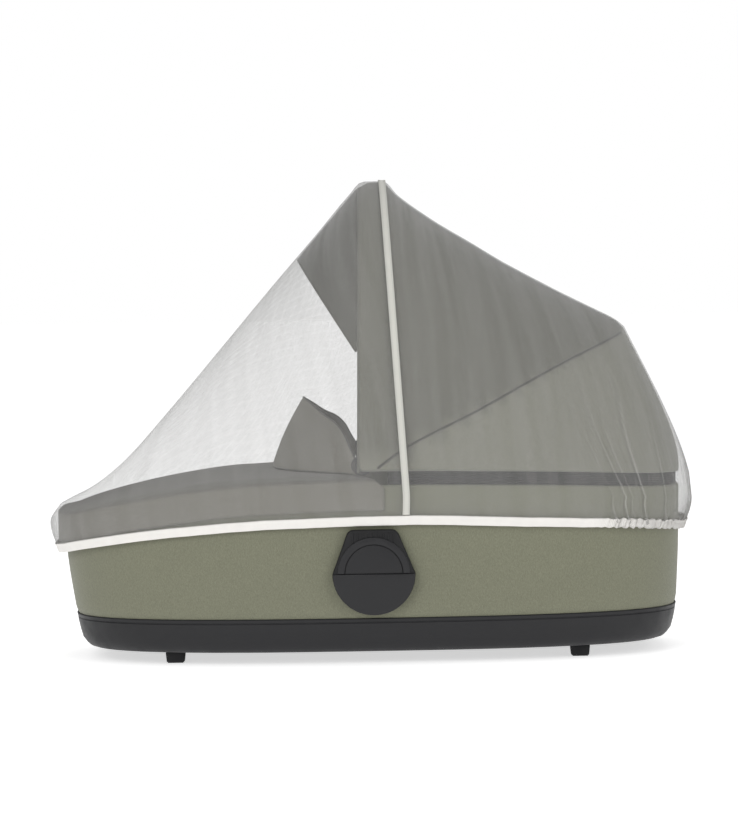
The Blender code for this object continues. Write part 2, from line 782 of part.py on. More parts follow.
def hinges(material, collection):
    """Round hinge cover inside each end of the hood's front bow."""
    for name, side in (("near", -1), ("far", 1)):
        bpy.ops.mesh.primitive_cylinder_add(
            vertices=24, radius=HINGE_RADIUS, depth=HINGE_THICKNESS,
            location=(HINGE_X, side * HINGE_Y, HINGE_Z), rotation=(math.pi / 2, 0.0, 0.0),
        )
        hinge = bpy.context.active_object
        hinge.name = f"hood_hinge_{name}"
        hinge.data.materials.append(material)
        move_to(hinge, collection)


def apron_point(place, share, side):
    """Point of the apron: share runs up the skirt, over the rim and in to the middle."""
    turn = turn_at_x(place, RIM_FOOT_X, RIM_HEAD_X)
    grow = APRON_OUT
    x, y = loop_xy(turn, RIM_FOOT_X - grow, RIM_HEAD_X + grow, RIM_HALF_WIDTH + grow)
    if place <= RIM_FOOT_X:
        y = 0.0
    rim = rim_height(max(x, RIM_FOOT_X))
    if share <= APRON_SKIRT_SHARE:
        z = rim - APRON_SKIRT + (APRON_SKIRT + APRON_TURN) * share / APRON_SKIRT_SHARE
        return Vector((x, y * -side, z))
    inward = (share - APRON_SKIRT_SHARE) / (1 - APRON_SKIRT_SHARE)
    span = (place - RIM_FOOT_X) / (APRON_END_X - RIM_FOOT_X)
    middle_x = APRON_CROWN[0][0] + (APRON_CROWN[-1][0] - APRON_CROWN[0][0]) * span ** APRON_SPREAD
    crown = smooth(APRON_CROWN, middle_x)
    over = smooth(APRON_OVER_RIM, place)
    angle = inward * math.pi / 2
    across = math.cos(angle)
    top = rim + APRON_TURN + (over - APRON_TURN) * min(inward * 3.0, 1.0) ** 0.7
    z = top + (crown - rim - over) * max(inward * 1.5 - 0.5, 0.0)
    return Vector((middle_x + (x - middle_x) * across ** 2, y * across * -side, z))


def apron(material, collection):
    shares = APRON_SHARES
    _, lengths, xs = turns_by_length(RIM_FOOT_X, RIM_HEAD_X, RIM_HALF_WIDTH)
    end = float(np.interp(APRON_END_X, xs, lengths))
    marks = np.linspace(0.0, end, APRON_COLUMNS + 1)
    places = [float(np.interp(mark, lengths, xs)) for mark in marks]
    places[0] = RIM_FOOT_X
    points = []
    for place in places:
        points += [apron_point(place, share, -1) for share in shares]
        points += [apron_point(place, share, 1) for share in shares[::-1][1:]]
    return outward_sheet(
        "apron_cover", points, 2 * len(shares) - 1, material, collection,
        APRON_THICKNESS, UNDER_APRON,
    )


def wind_flap(material, collection):
    """Upright flap at the apron's inner edge, highest in the middle."""
    walk = [i / FLAP_COLUMNS for i in range(-FLAP_COLUMNS, FLAP_COLUMNS + 1)]
    points = []
    widest = FLAP_EDGE[-1][0]
    for place in walk:
        across = abs(place) * widest
        top = Vector((
            smooth(FLAP_EDGE, across, 1),
            math.copysign(across, place) * FLAP_HALF_WIDTH,
            smooth(FLAP_EDGE, across, 2),
        ))
        inward = math.acos(abs(top.y) / (RIM_HALF_WIDTH + APRON_OUT)) / (math.pi / 2)
        seat = apron_point(APRON_END_X - FLAP_SET_BACK, APRON_SKIRT_SHARE
                           + (1 - APRON_SKIRT_SHARE) * inward, -1)
        bottom = Vector((seat.x, top.y, seat.z + APRON_THICKNESS / 2 + FLAP_LIFT))
        for step in range(FLAP_STEPS + 1):
            up = step / FLAP_STEPS
            point = bottom.lerp(top, up)
            point.x -= FLAP_BULGE * math.sin(up * math.pi) * (1 - abs(place))
            points.append(point)
    return outward_sheet(
        "apron_wind_flap", points, FLAP_STEPS + 1, material, collection, FLAP_THICKNESS
    )


def build():
    clear_scene()
    materials = make_materials()
    collection = bpy.data.collections.new(COLLECTION)
    bpy.context.scene.collection.children.link(collection)
    net = Net()
    seam = net.length_at_x(TAPE_HEM_X)
    net_panel("net_front_panel", net, 0.0, seam - SEAM_GAP / 2, materials["net_mesh"], collection)
    net_panel(
        "net_rear_panel", net, seam + SEAM_GAP / 2, net.half_hem, materials["net_mesh"], collection
    )
    seam_tape("net_seam_tape", net, materials["net_white_tape"], collection)
    hem_binding("net_hem_binding", net, materials["net_white_binding"], collection)
    tub(materials["olive_fabric"], collection)
    base(materials["dark_plastic"], collection)
    feet(materials["dark_plastic"], collection)
    lugs(materials["dark_plastic"], collection)
    hood(materials["taupe_fabric"], collection)
    hood_stripe(materials["dark_webbing"], collection)
    visor(materials["taupe_fabric"], collection)
    hinges(materials["dark_plastic"], collection)
    apron(materials["taupe_fabric"], collection)
    wind_flap(materials["taupe_fabric"], collection)


build()
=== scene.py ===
"""Looks of a mosquito net on a carrycot.

The script is laid out as a Blender add-on and runs on its own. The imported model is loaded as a
fixed frame, and every piece is built in that frame: metres, +Z up, the head end at +X and the
near side at -Y. The net is two single layers of weave, sewn together under a tape.
"""
import math
import bmesh
import bpy
import numpy as np
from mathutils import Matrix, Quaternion, Vector, noise
from mathutils.bvhtree import BVHTree


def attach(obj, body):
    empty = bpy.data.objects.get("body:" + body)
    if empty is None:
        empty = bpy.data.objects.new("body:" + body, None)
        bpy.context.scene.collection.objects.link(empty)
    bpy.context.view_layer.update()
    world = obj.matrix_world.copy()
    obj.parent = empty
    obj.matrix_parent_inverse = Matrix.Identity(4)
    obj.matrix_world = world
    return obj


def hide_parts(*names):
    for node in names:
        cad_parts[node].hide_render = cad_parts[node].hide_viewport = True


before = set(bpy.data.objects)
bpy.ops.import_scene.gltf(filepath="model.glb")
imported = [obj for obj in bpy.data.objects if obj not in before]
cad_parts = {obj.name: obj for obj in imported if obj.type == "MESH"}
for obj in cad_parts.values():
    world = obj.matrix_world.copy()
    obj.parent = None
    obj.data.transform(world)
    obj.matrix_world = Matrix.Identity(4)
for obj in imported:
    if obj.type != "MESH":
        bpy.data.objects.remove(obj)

bl_info = {
    "name": "Mosquito net on a carrycot",
    "version": (1, 0, 0),
    "blender": (4, 5, 0),
    "location": "3D View > Sidebar > Carrycot net",
    "description": "Builds the net, the carrycot under it and the studio round them",
    "category": "Object",
}

BODY = "root"
PANEL_TAB = "Carrycot net"

# Plan of the carrycot and of the net's lower edge, as in the solids
LOOP_POWER = 2.9
RIM_FOOT_X, RIM_HEAD_X, RIM_HALF_WIDTH = -0.424, 0.4262, 0.2125
HEM_FOOT_X, HEM_HEAD_X, HEM_HALF_WIDTH = -0.4312, 0.4312, 0.2182
SHOULDER_FOOT_X, SHOULDER_HEAD_X, SHOULDER_HALF_WIDTH = -0.443, 0.4438, 0.223
SHOULDER_RISE = 0.037
SEAM_GAP = 0.0016
LOOP_SAMPLES = 3000

# Heights along the length: x of the section, height z of the line there
HEM_LINE = (
    (-0.4312, 0.151), (-0.3775, 0.1636), (-0.27, 0.179), (-0.12, 0.1895),
    (0.05, 0.1925), (0.2, 0.1872), (0.35, 0.1798), (0.4312, 0.171),
)
RIM_LINE = (
    (-0.424, 0.193), (-0.32, 0.217), (-0.16, 0.237),
    (0.0, 0.2415), (0.21, 0.2376), (0.4262, 0.2264),
)

# Ribs of the net and of the hood: x at the lower edge, x and z in the middle, squareness, swell
NET_RIBS = (
    (-0.4312, -0.43, 0.2105, 3.4, 0.002),
    (-0.423, -0.418, 0.2165, 3.4, 0.002),
    (-0.395, -0.39, 0.23, 3.2, 0.0018),
    (-0.35, -0.345, 0.264, 2.7, 0.0015),
    (-0.28, -0.276, 0.338, 2.4, 0.001),
    (-0.2, -0.2, 0.426, 2.35, 0.0008),
    (-0.12, -0.125, 0.513, 2.5, 0.0005),
    (-0.055, -0.065, 0.581, 2.75, 0.0005),
    (-0.015, -0.026, 0.6265, 2.85, 0.0005),
    (0.018, -0.002, 0.649, 2.8, 0.0005),
    (0.0463, 0.023, 0.649, 2.75, 0.0005),
    (0.1, 0.045, 0.629, 2.7, 0.0008),
    (0.2, 0.093, 0.594, 2.7, 0.0015),
    (0.29, 0.145, 0.562, 2.8, 0.003),
    (0.336, 0.185, 0.537, 2.9, 0.005),
    (0.364, 0.265, 0.493, 3.0, 0.008),
    (0.388, 0.318, 0.466, 3.0, 0.01),
    (0.412, 0.343, 0.453, 3.0, 0.0115),
    (0.4312, 0.356, 0.442, 3.0, 0.0125),
)
HOOD_RIBS = (
    (-0.0155, -0.0085, 0.6393, 2.8, 0.0005),
    (0.018, 0.008, 0.6463, 2.82, 0.0005),
    (0.0463, 0.0215, 0.646, 2.8, 0.0005),
    (0.1, 0.0432, 0.6268, 2.78, 0.0005),
    (0.2, 0.0915, 0.5917, 2.78, 0.001),
    (0.29, 0.1436, 0.5597, 2.86, 0.002),
    (0.336, 0.1836, 0.5347, 2.94, 0.004),
    (0.364, 0.2637, 0.4906, 3.0, 0.0065),
    (0.388, 0.3168, 0.4636, 3.0, 0.0085),
    (0.412, 0.3417, 0.4507, 3.0, 0.01),
    (0.4262, 0.3536, 0.4395, 3.0, 0.011),
)

# The net's cut: where its seam is, how far its low part reaches, and how fine its mesh is
TAPE_HEM_X = 0.0463
NET_EDGE_BELOW = 0.003
LOW_SHARE = 3 / 11
NET_ROWS_LOW = 16
NET_ROWS_HIGH = 30
NET_STEP = 0.009
GATHER_STEP = 0.001
GATHER_FROM_X = 0.275

# Gathers: side, x at the hem, share of the rib where they die out, height and half width
PLEATS = (
    ("near", 0.315, 0.36, 0.0012, 0.0042),
    ("near", 0.334, 0.44, 0.003, 0.0032),
    ("near", 0.35, 0.5, 0.0038, 0.0034),
    ("near", 0.359, 0.58, 0.0028, 0.003),
    ("near", 0.374, 0.58, 0.0042, 0.0034),
    ("near", 0.4, 0.66, 0.0036, 0.0032),
    ("near", 0.412, 0.7, 0.0022, 0.0034),
    ("near", 0.425, 0.62, 0.0018, 0.004),
    ("far", 0.306, 0.34, 0.0014, 0.0042),
    ("far", 0.329, 0.48, 0.0038, 0.0034),
    ("far", 0.356, 0.56, 0.0032, 0.0032),
    ("far", 0.373, 0.62, 0.0042, 0.0036),
    ("far", 0.394, 0.5, 0.0022, 0.0034),
    ("far", 0.409, 0.68, 0.0042, 0.0034),
    ("far", 0.424, 0.6, 0.0026, 0.004),
)
FINE_PLEATS = (
    ("near", 0.296, 0.3, 0.0009, 0.004),
    ("near", 0.306, 0.36, 0.0011, 0.0035),
    ("near", 0.3245, 0.4, 0.0012, 0.003),
    ("near", 0.3425, 0.42, 0.0014, 0.0028),
    ("near", 0.366, 0.44, 0.0013, 0.0028),
    ("near", 0.386, 0.5, 0.0014, 0.003),
    ("near", 0.419, 0.48, 0.0014, 0.003),
    ("far", 0.298, 0.32, 0.001, 0.004),
    ("far", 0.318, 0.4, 0.0013, 0.0032),
    ("far", 0.343, 0.44, 0.0014, 0.0028),
    ("far", 0.365, 0.5, 0.0014, 0.0028),
    ("far", 0.383, 0.42, 0.0013, 0.003),
    ("far", 0.402, 0.5, 0.0015, 0.0028),
    ("far", 0.417, 0.46, 0.0014, 0.003),
    ("near", -0.4255, 0.4, 0.0014, 0.006),
    ("near", -0.417, 0.34, 0.0012, 0.005),
    ("near", -0.405, 0.3, 0.0012, 0.006),
    ("far", -0.42, 0.38, 0.0012, 0.006),
    ("far", -0.409, 0.32, 0.0011, 0.006),
)
GATHER_SLIDE = (0.02, 0.46)
SCRUNCH_START_X = 0.3
SCRUNCH_RISE = 0.03
SCRUNCH_DEPTH = 0.0016
SCRUNCH_TIP = 0.004
SCRUNCH_WAVES = ((0.0144, 0.0, 0.55), (0.0083, 1.9, 0.4), (0.0051, 0.7, 0.28))

# How the net looks closed up: gathers with a painted highlight along each top and painted shade
# beside it, edges seen along the cloth, the two tips, and how much painted shade darkens it along
# the ridge and at the tips
FOLD_PAINTED_LINES = (0.001, 0.0023, 0.0012)
FOLD_HEIGHT = (0.0012, 0.004)
FOLD_DENSE = 1.05
RIDGE_DENSE = (1.35, 5.0)
TIP_DENSE = (1.5, 0.085)
LOW_DENSE = 0.12
BUNCH_DENSE = (0.25, 0.005)
EDGE_PAINTED_SHADE = (0.3, 0.85)

# The weave as a soft pattern: from and to of its step, and the alpha at both; then its streaks
WEAVE_STEP = (-0.28, 0.34, 0.64, 0.11)
STREAK_SCALE = (52.0, 3.0, 1.0)
STREAK_STEP = (0.25, 0.75, 0.84, 1.18)

# Tape over the seam and binding round the hem; waves are a size, a period and a phase
TAPE_LOW_SHARE = 0.085
TAPE_WIDTH = 0.0096
TAPE_THICKNESS = 0.001
TAPE_LIFT = 0.001
TAPE_EDGE_FOLD = 0.0005
TAPE_ROWS = 96
BINDING_HEIGHT = 0.0126
BINDING_HALF = 0.00192
BINDING_WALL = 0.0008
BINDING_DROP = 0.0014
BINDING_STEP = 0.007
BINDING_PUFF = (0.30, 0.0074, 0.8)
BINDING_RUFFLE = (0.0011, 0.0121, 1.3)
BINDING_DRIFT = (0.0004, 40.0)

# Tub and base: height, x of the foot end, x of the head end, half width
TUB_POINTS = 220
TUB_BORDER = (0.063, -0.4085, 0.4203, 0.2068)
WALL_MIDDLE = (0.55, 0.0105, 0.0045, 0.004)
WALL_SHARES = (0.0, 0.02, 0.07, 0.16, 0.3, 0.45, 0.6, 0.75, 0.88, 0.97, 1.0)
TUB_TUCK = 0.0022
TUB_WALL = 0.008
TUB_FLOOR = 0.07
RIM_ROUND = 0.003
BASE_SECTIONS = (
    (0.016, -0.382, 0.393, 0.183),
    (0.0165, -0.386, 0.3975, 0.187),
    (0.0185, -0.392, 0.404, 0.192),
    (0.0225, -0.3962, 0.4082, 0.196),
    (0.029, -0.401, 0.413, 0.2003),
    (0.04, -0.4042, 0.4162, 0.203),
    (0.052, -0.4068, 0.4187, 0.2053),
    (0.056, -0.4073, 0.4192, 0.2058),
    (0.0566, -0.4066, 0.4185, 0.2051),
    (0.0574, -0.4066, 0.4185, 0.2051),
    (0.058, -0.4076, 0.4195, 0.2061),
    (0.0618, -0.4085, 0.4203, 0.2068),
    (0.0627, -0.4076, 0.4194, 0.2059),
)

# Hood, its rim band, visor and hinge covers
STRIPE_HEIGHT = 0.0155
STRIPE_THICKNESS = 0.002
STRIPE_FRONT_X = 0.0235
STRIPE_INSET = 0.0048
STRIPE_TUCK = 0.005
STRIPE_COLUMNS = 90
HOOD_THICKNESS = 0.0025
HOOD_COLUMNS = 84
HOOD_ROWS = 40
HOOD_SEAM = (
    (0.0097, 0.2639), (0.0486, 0.2908), (0.1415, 0.3367), (0.2509, 0.3931), (0.3464, 0.4351),
)
HOOD_SEAM_WIDTH = 0.0036
HOOD_BAND_X = 0.033
HOOD_SAG = 0.0025
# Painted light on the hood: blend width at the rear seam, and the share of the lighter tone on the
# front band
HOOD_PAINTED_LIGHT = (0.004, 0.25)
VISOR_END_Z = 0.42
VISOR_TIP = (-0.0922, 0.543)
VISOR_NARROWING = 0.1
VISOR_THICKNESS = 0.0022
VISOR_GAP = 0.002
VISOR_END_DEPTH = 0.0012
VISOR_ROWS = 44
VISOR_STEPS = 14
VISOR_EDGE_RADIUS = 0.0016

# Apron and its wind flap
APRON_CROWN = (
    (-0.406, 0.2098), (-0.3844, 0.218), (-0.3226, 0.232),
    (-0.24, 0.247), (-0.1774, 0.253), (-0.13, 0.253),
)
APRON_THICKNESS = 0.005
APRON_SKIRT = 0.034
APRON_END_X = 0.019
APRON_OVER_RIM = ((-0.424, 0.0085), (-0.36, 0.0075), (-0.2, 0.0095), (0.019, 0.011))
APRON_TIP = (0.03, 0.0025, 0.004)
APRON_CORNER = 0.009
APRON_TURN = 0.003
APRON_OUT = 0.0032
APRON_SKIRT_SHARE = 0.25
APRON_SPREAD = 1.15
APRON_COLUMNS = 56
APRON_DRIFT = (0.0008, 16.0)
APRON_CREASES = (
    (-0.39, 0.1, 0.0012, 0.012), (-0.35, 0.22, -0.001, 0.014),
    (-0.3, 0.35, 0.0011, 0.016), (-0.24, 0.3, -0.0009, 0.014),
    (-0.17, 0.45, 0.001, 0.018), (-0.09, 0.4, -0.001, 0.016),
)
FLAP_EDGE = (
    (0.0, -0.0906, 0.352), (0.15, -0.0785, 0.343), (0.33, -0.062, 0.33),
    (0.52, -0.047, 0.321), (0.7, -0.0345, 0.307), (0.85, -0.0265, 0.29),
    (0.96, -0.0208, 0.279),
)
FLAP_EDGE_RADIUS = 0.0013
FLAP_END_X = -0.0208
FLAP_THICKNESS = 0.003
FLAP_HALF_WIDTH = 0.204
FLAP_SET_BACK = 0.006
FLAP_LIFT = 0.0012
FLAP_BULGE = 0.004
FLAP_COLUMNS = 28
FLAP_STEPS = 16

# Carrying lug on each side of the tub: plate, half disc over it, half ring and grip ribs
LUG_MIDDLE = (0.003, 0.1233)
LUG_RADIUS = 0.0555
LUG_TOP_X = (-0.0305, 0.0345)
LUG_TOP_Z = 0.1825
LUG_TOP_ROUND = 0.008
LUG_BACK = ((0.0678, 0.2079), (0.1825, 0.2119))
LUG_GAP = 0.0003
LUG_PLATE = 0.0112
LUG_FRONT = 0.0148
LUG_SPLIT = 0.0007
LUG_RING = (0.0485, 0.0392, 0.0135)
LUG_RIBS = (-0.0245, 0.0305, 9, 0.0022, 0.0124)

# Points that outer faces look away from
INSIDE = Vector((0.05, 0.0, 0.2))
UNDER_APRON = Vector((-0.2, 0.0, 0.1))

# The photograph's view of the real object, and how much larger the part fills the frame
FRAME_HEIGHT_PX = 835
PHOTO_MM_PER_PX = 1.735
ENLARGED = 1.25
SENSOR_MM = 36.0

# Soft lights: name, place, size and power
LIGHTS = (
    ("key_light", (-1.8, -4.0, 2.2), 2.6, 58.0),
    ("fill_light", (2.8, -3.4, 1.5), 2.4, 30.0),
    ("top_light", (0.3, 0.6, 3.4), 2.4, 20.0),
)


# ---------------------------------------------------------------- settings in the sidebar

class NetLook(bpy.types.PropertyGroup):
    """Sizes and colours of the net."""

    weave_pitch: bpy.props.FloatProperty(
        name="Weave pitch", description="Distance between two threads of the net",
        default=0.0013, min=0.0005, unit="LENGTH", precision=4,
    )
    thread_share: bpy.props.FloatProperty(
        name="Thread share", description="Share of the net's surface that thread covers",
        default=0.19, min=0.05, max=0.9, subtype="FACTOR",
    )
    thread: bpy.props.FloatVectorProperty(
        name="Thread", description="Colour of the net's thread",
        default=(0.47, 0.465, 0.45), size=3, subtype="COLOR",
    )
    tape: bpy.props.FloatVectorProperty(
        name="Tape", description="Colour of the tape over the seam",
        default=(0.58, 0.575, 0.53), size=3, subtype="COLOR",
    )
    binding: bpy.props.FloatVectorProperty(
        name="Binding", description="Colour of the binding round the hem",
        default=(0.74, 0.72, 0.69), size=3, subtype="COLOR",
    )


class CarrycotLook(bpy.types.PropertyGroup):
    """Colours of the carrycot."""

    tub: bpy.props.FloatVectorProperty(
        name="Tub fabric", description="Colour of the fabric round the tub",
        default=(0.171, 0.174, 0.121), size=3, subtype="COLOR",
    )
    hood: bpy.props.FloatVectorProperty(
        name="Hood fabric", description="Colour of the hood's fabric",
        default=(0.105, 0.105, 0.083), size=3, subtype="COLOR",
    )
    apron: bpy.props.FloatVectorProperty(
        name="Apron fabric", description="Colour of the apron's fabric",
        default=(0.158, 0.150, 0.124), size=3, subtype="COLOR",
    )
    webbing: bpy.props.FloatVectorProperty(
        name="Webbing", description="Colour of the band round the hood's rim",
        default=(0.009, 0.009, 0.011), size=3, subtype="COLOR",
    )
    plastic: bpy.props.FloatVectorProperty(
        name="Plastic", description="Colour of the base, the feet, the lugs and the hinge covers",
        default=(0.013, 0.013, 0.0145), size=3, subtype="COLOR",
    )


class StageLook(bpy.types.PropertyGroup):
    """Camera and light."""

    elevation: bpy.props.FloatProperty(
        name="Elevation", description="Height of the camera over the horizon",
        default=math.radians(2.75), unit="ROTATION",
    )
    roll: bpy.props.FloatProperty(
        name="Roll", description="Turn of the camera about its own axis",
        default=math.radians(1.0), unit="ROTATION",
    )
    distance: bpy.props.FloatProperty(
        name="Distance", description="Distance from the camera to the middle of the part",
        default=5.45, min=1.0, unit="LENGTH",
    )
    aim: bpy.props.FloatVectorProperty(
        name="Aim", description="Point that the camera looks at",
        default=(0.0, 0.0, 0.322), size=3, subtype="XYZ", unit="LENGTH",
    )
    room_light: bpy.props.FloatProperty(
        name="Room light", description="Strength of the white light from all round",
        default=0.50, min=0.0,
    )
    floor_glow: bpy.props.FloatProperty(
        name="Floor glow", description="Light that the lit paper under the part gives by itself",
        default=0.60, min=0.0,
    )
    floor: bpy.props.FloatVectorProperty(
        name="Floor", description="Colour of the floor",
        default=(0.90, 0.90, 0.90), size=3, subtype="COLOR",
    )


# ---------------------------------------------------------------- shapes

def smooth(rows, at, column=1):
    """Value of a column at a place, on a smooth curve through the rows."""
    keys = [row[0] for row in rows]
    values = [row[column] for row in rows]
    at = min(max(at, keys[0]), keys[-1])
    i = min(max(int(np.searchsorted(keys, at)) - 1, 0), len(keys) - 2)
    slopes = [(values[j + 1] - values[j]) / (keys[j + 1] - keys[j]) for j in range(len(keys) - 1)]

    def tangent(j):
        if j == 0 or j == len(keys) - 1:
            return slopes[min(j, len(slopes) - 1)]
        before, after = slopes[j - 1], slopes[j]
        if before * after <= 0.0:
            return 0.0
        return 2.0 * before * after / (before + after)

    width = keys[i + 1] - keys[i]
    u = (at - keys[i]) / width
    return (
        values[i] * (1 + 2 * u) * (1 - u) ** 2
        + width * tangent(i) * u * (1 - u) ** 2
        + values[i + 1] * u * u * (3 - 2 * u)
        + width * tangent(i + 1) * u * u * (u - 1)
    )


def loop_xy(turn, foot_x, head_x, half_width):
    """Point of a plan loop. A turn of 0 is the foot tip, pi the head tip, between them is -Y."""
    middle, half_length = (foot_x + head_x) / 2, (head_x - foot_x) / 2
    c, s = math.cos(turn), math.sin(turn)
    x = middle - math.copysign(abs(c) ** (2 / LOOP_POWER), c) * half_length
    y = -math.copysign(abs(s) ** (2 / LOOP_POWER), s) * half_width
    return x, y


def half_loop(foot_x, head_x, half_width):
    """Turns of half a loop, the length of edge from the foot tip to each, and their x."""
    turns = np.linspace(0.0, math.pi, LOOP_SAMPLES)
    points = np.array([loop_xy(turn, foot_x, head_x, half_width) for turn in turns])
    steps = np.hypot(*np.diff(points, axis=0).T)
    return turns, np.concatenate([[0.0], np.cumsum(steps)]), points[:, 0]


def turn_at_x(x, foot_x, head_x):
    """Turn where a half loop is at a given x."""
    along = ((foot_x + head_x) / 2 - x) / ((head_x - foot_x) / 2)
    along = min(max(along, -1.0), 1.0)
    return math.acos(math.copysign(abs(along) ** (LOOP_POWER / 2), along))


def rim_height(x):
    return smooth(RIM_LINE, x)


def outward_in_plan(turn):
    """Unit direction that leaves the loop at a turn, in plan."""
    x, y = loop_xy(turn, -HEM_HEAD_X, HEM_HEAD_X, HEM_HALF_WIDTH)
    power = LOOP_POWER - 1
    return Vector((
        math.copysign(abs(x / HEM_HEAD_X) ** power, x) / HEM_HEAD_X,
        math.copysign(abs(y / HEM_HALF_WIDTH) ** power, y) / HEM_HALF_WIDTH,
        0.0,
    )).normalized()


def arch(start, ridge_x, ridge_z, square, swell, outward, share):
    """Point of a rib that climbs from a start point and turns in to the middle line."""
    angle = share * math.pi / 2
    lift = math.sin(angle) ** (2 / square)
    inside = max(math.cos(angle), 0.0) ** (2 / square)
    bow = 4.0 * swell * lift ** 0.75 * (1 - lift) ** 1.4
    return Vector((
        start[0] + (ridge_x - start[0]) * lift + outward[0] * bow,
        (start[1] + outward[1] * bow) * inside,
        start[2] + (ridge_z - start[2]) * lift,
    ))


class Hem:
    """The net's lower edge from the foot tip to the head tip, measured along the cloth."""

    def __init__(self):
        self.turns, self.lengths, self.xs = half_loop(HEM_FOOT_X, HEM_HEAD_X, HEM_HALF_WIDTH)
        self.half = float(self.lengths[-1])
        self.scrunch_start = self.length_at_x(SCRUNCH_START_X)
        self.pleats = [
            (side, self.length_at_x(x), reach, height, half_width)
            for side, x, reach, height, half_width in PLEATS + FINE_PLEATS
        ]

    def length_at_x(self, x):
        return float(np.interp(x, self.xs, self.lengths))

    def stations(self, start, end):
        """Lengths of hem where the net has a rib, closer together in the gathers."""
        gathers = self.length_at_x(GATHER_FROM_X)
        foot = self.length_at_x(-0.38)
        marks = sorted({start, end, *(m for m in (foot, gathers) if start < m < end)})
        stations = [start]
        for low, high in zip(marks, marks[1:]):
            fine = low >= gathers - 1e-9
            step = GATHER_STEP if fine else NET_STEP if low >= foot - 1e-9 else NET_STEP / 3
            count = max(round((high - low) / step), 1)
            stations += [low + (high - low) * (i + 1) / count for i in range(count)]
        return stations

    def scrunch(self, length, side):
        """In and out along the elastic at the head end, still at the tip."""
        if length <= self.scrunch_start:
            return 0.0
        ramp = min((length - self.scrunch_start) / SCRUNCH_RISE, 1.0)
        ramp *= min((self.half - length) / SCRUNCH_TIP, 1.0)
        offset = 0.0 if side == "near" else 2.6
        wave = sum(
            share * math.sin(2 * math.pi * length / period + phase + offset)
            for period, phase, share in SCRUNCH_WAVES
        )
        return SCRUNCH_DEPTH * ramp * wave


class Rib:
    """One rib of the net, from the hem up to the middle line."""

    def __init__(self, hem, length, side):
        turn = float(np.interp(length, hem.lengths, hem.turns))
        x, y = loop_xy(turn, HEM_FOOT_X, HEM_HEAD_X, HEM_HALF_WIDTH)
        y = 0.0 if turn in (0.0, math.pi) else y
        out_x, out_y = loop_xy(turn, SHOULDER_FOOT_X, SHOULDER_HEAD_X, SHOULDER_HALF_WIDTH)
        self.low = Vector((x, y, smooth(HEM_LINE, x) - NET_EDGE_BELOW))
        self.shoulder = Vector((out_x, out_y, self.low.z + NET_EDGE_BELOW + SHOULDER_RISE))
        self.outward = outward_in_plan(turn)
        self.shape = [smooth(NET_RIBS, x, column) for column in range(1, 5)]
        self.mirror = -1.0 if side == "far" else 1.0
        self.scrunch = hem.scrunch(length, side)
        self.tips = math.exp(-length / TIP_DENSE[1]) + math.exp(-(hem.half - length) / TIP_DENSE[1])
        slide = GATHER_SLIDE[0] if turn > math.pi / 2 else 0.0
        self.pleats = [
            (reach, height, half_width, length - middle)
            for pleat_side, middle, reach, height, half_width in hem.pleats
            if pleat_side == side and -slide - 0.011 < length - middle < 0.011
        ]
        self.slide = slide

    def near_gathers(self, share):
        """Gathers at a share of the rib: fade, height, half width, and distance along the hem."""
        slide = self.slide * math.sin(math.pi * min(share / GATHER_SLIDE[1], 1.0))
        return [
            (math.cos(share / reach * math.pi / 2), height, half_width, away + slide)
            for reach, height, half_width, away in self.pleats if share < reach
        ]

    def gather(self, share):
        """How far the gathers lift the cloth at a share of the rib."""
        lift = sum(
            fade * height * math.exp(-((away / half_width) ** 2))
            for fade, height, half_width, away in self.near_gathers(share)
        )
        return lift + self.scrunch * max(1.0 - share / (1.6 * LOW_SHARE), 0.0)

    def fold_painted_light(self, share):
        """Painted highlight along the top of each gather, and painted shade in the line beside it,
        along the ridge and at the tips.
        """
        bright, beside, dark = FOLD_PAINTED_LINES
        least, full = FOLD_HEIGHT
        painted_highlight = 0.0
        ridge, tips = EDGE_PAINTED_SHADE
        # Painted shade: the net is darker along the ridge and at the two tips
        painted_shade = max(ridge * share ** RIDGE_DENSE[1], tips * self.tips * (1.0 - share ** 2))
        # Painted highlight along the top of each gather, painted shade in the line beside it
        for fade, height, _, away in self.near_gathers(share):
            strength = fade * min(max((height - least) / (full - least), 0.0), 1.0)
            painted_highlight = max(painted_highlight, strength * math.exp(-((away / bright) ** 2)))
            painted_shade = max(painted_shade, strength * math.exp(-(((away + beside) / dark) ** 2)))
        return painted_highlight, painted_shade

    def dense(self, share):
        """How much the net closes up to the eye: folds, the ridge, the tips and the low edge."""
        ridge, power = RIDGE_DENSE
        low = LOW_DENSE * max(1.0 - share / (1.2 * LOW_SHARE), 0.0)
        tips = TIP_DENSE[0] * self.tips * (1.0 - share ** 2)
        bunch = BUNCH_DENSE[0] * min(abs(self.gather(share)) / BUNCH_DENSE[1], 1.0)
        folds = FOLD_DENSE * max(self.fold_painted_light(share))
        return min(max(ridge * share ** power + tips + low + bunch, folds + low), 1.5)

    def at(self, share):
        if share < LOW_SHARE:
            climb = share / LOW_SHARE
            spread = math.sin(climb * math.pi / 2)
            place = self.low.lerp(self.shoulder, climb)
            place.x = self.low.x + (self.shoulder.x - self.low.x) * spread
            place.y = self.low.y + (self.shoulder.y - self.low.y) * spread
        else:
            climb = (share - LOW_SHARE) / (1 - LOW_SHARE)
            place = arch(self.shoulder, *self.shape, self.outward, climb)
        place = place + self.outward * self.gather(share)
        place.y *= self.mirror
        return place


def net_shares():
    low = [LOW_SHARE * i / NET_ROWS_LOW for i in range(NET_ROWS_LOW)]
    high = [LOW_SHARE + (1 - LOW_SHARE) * i / NET_ROWS_HIGH for i in range(NET_ROWS_HIGH + 1)]
    return low + high


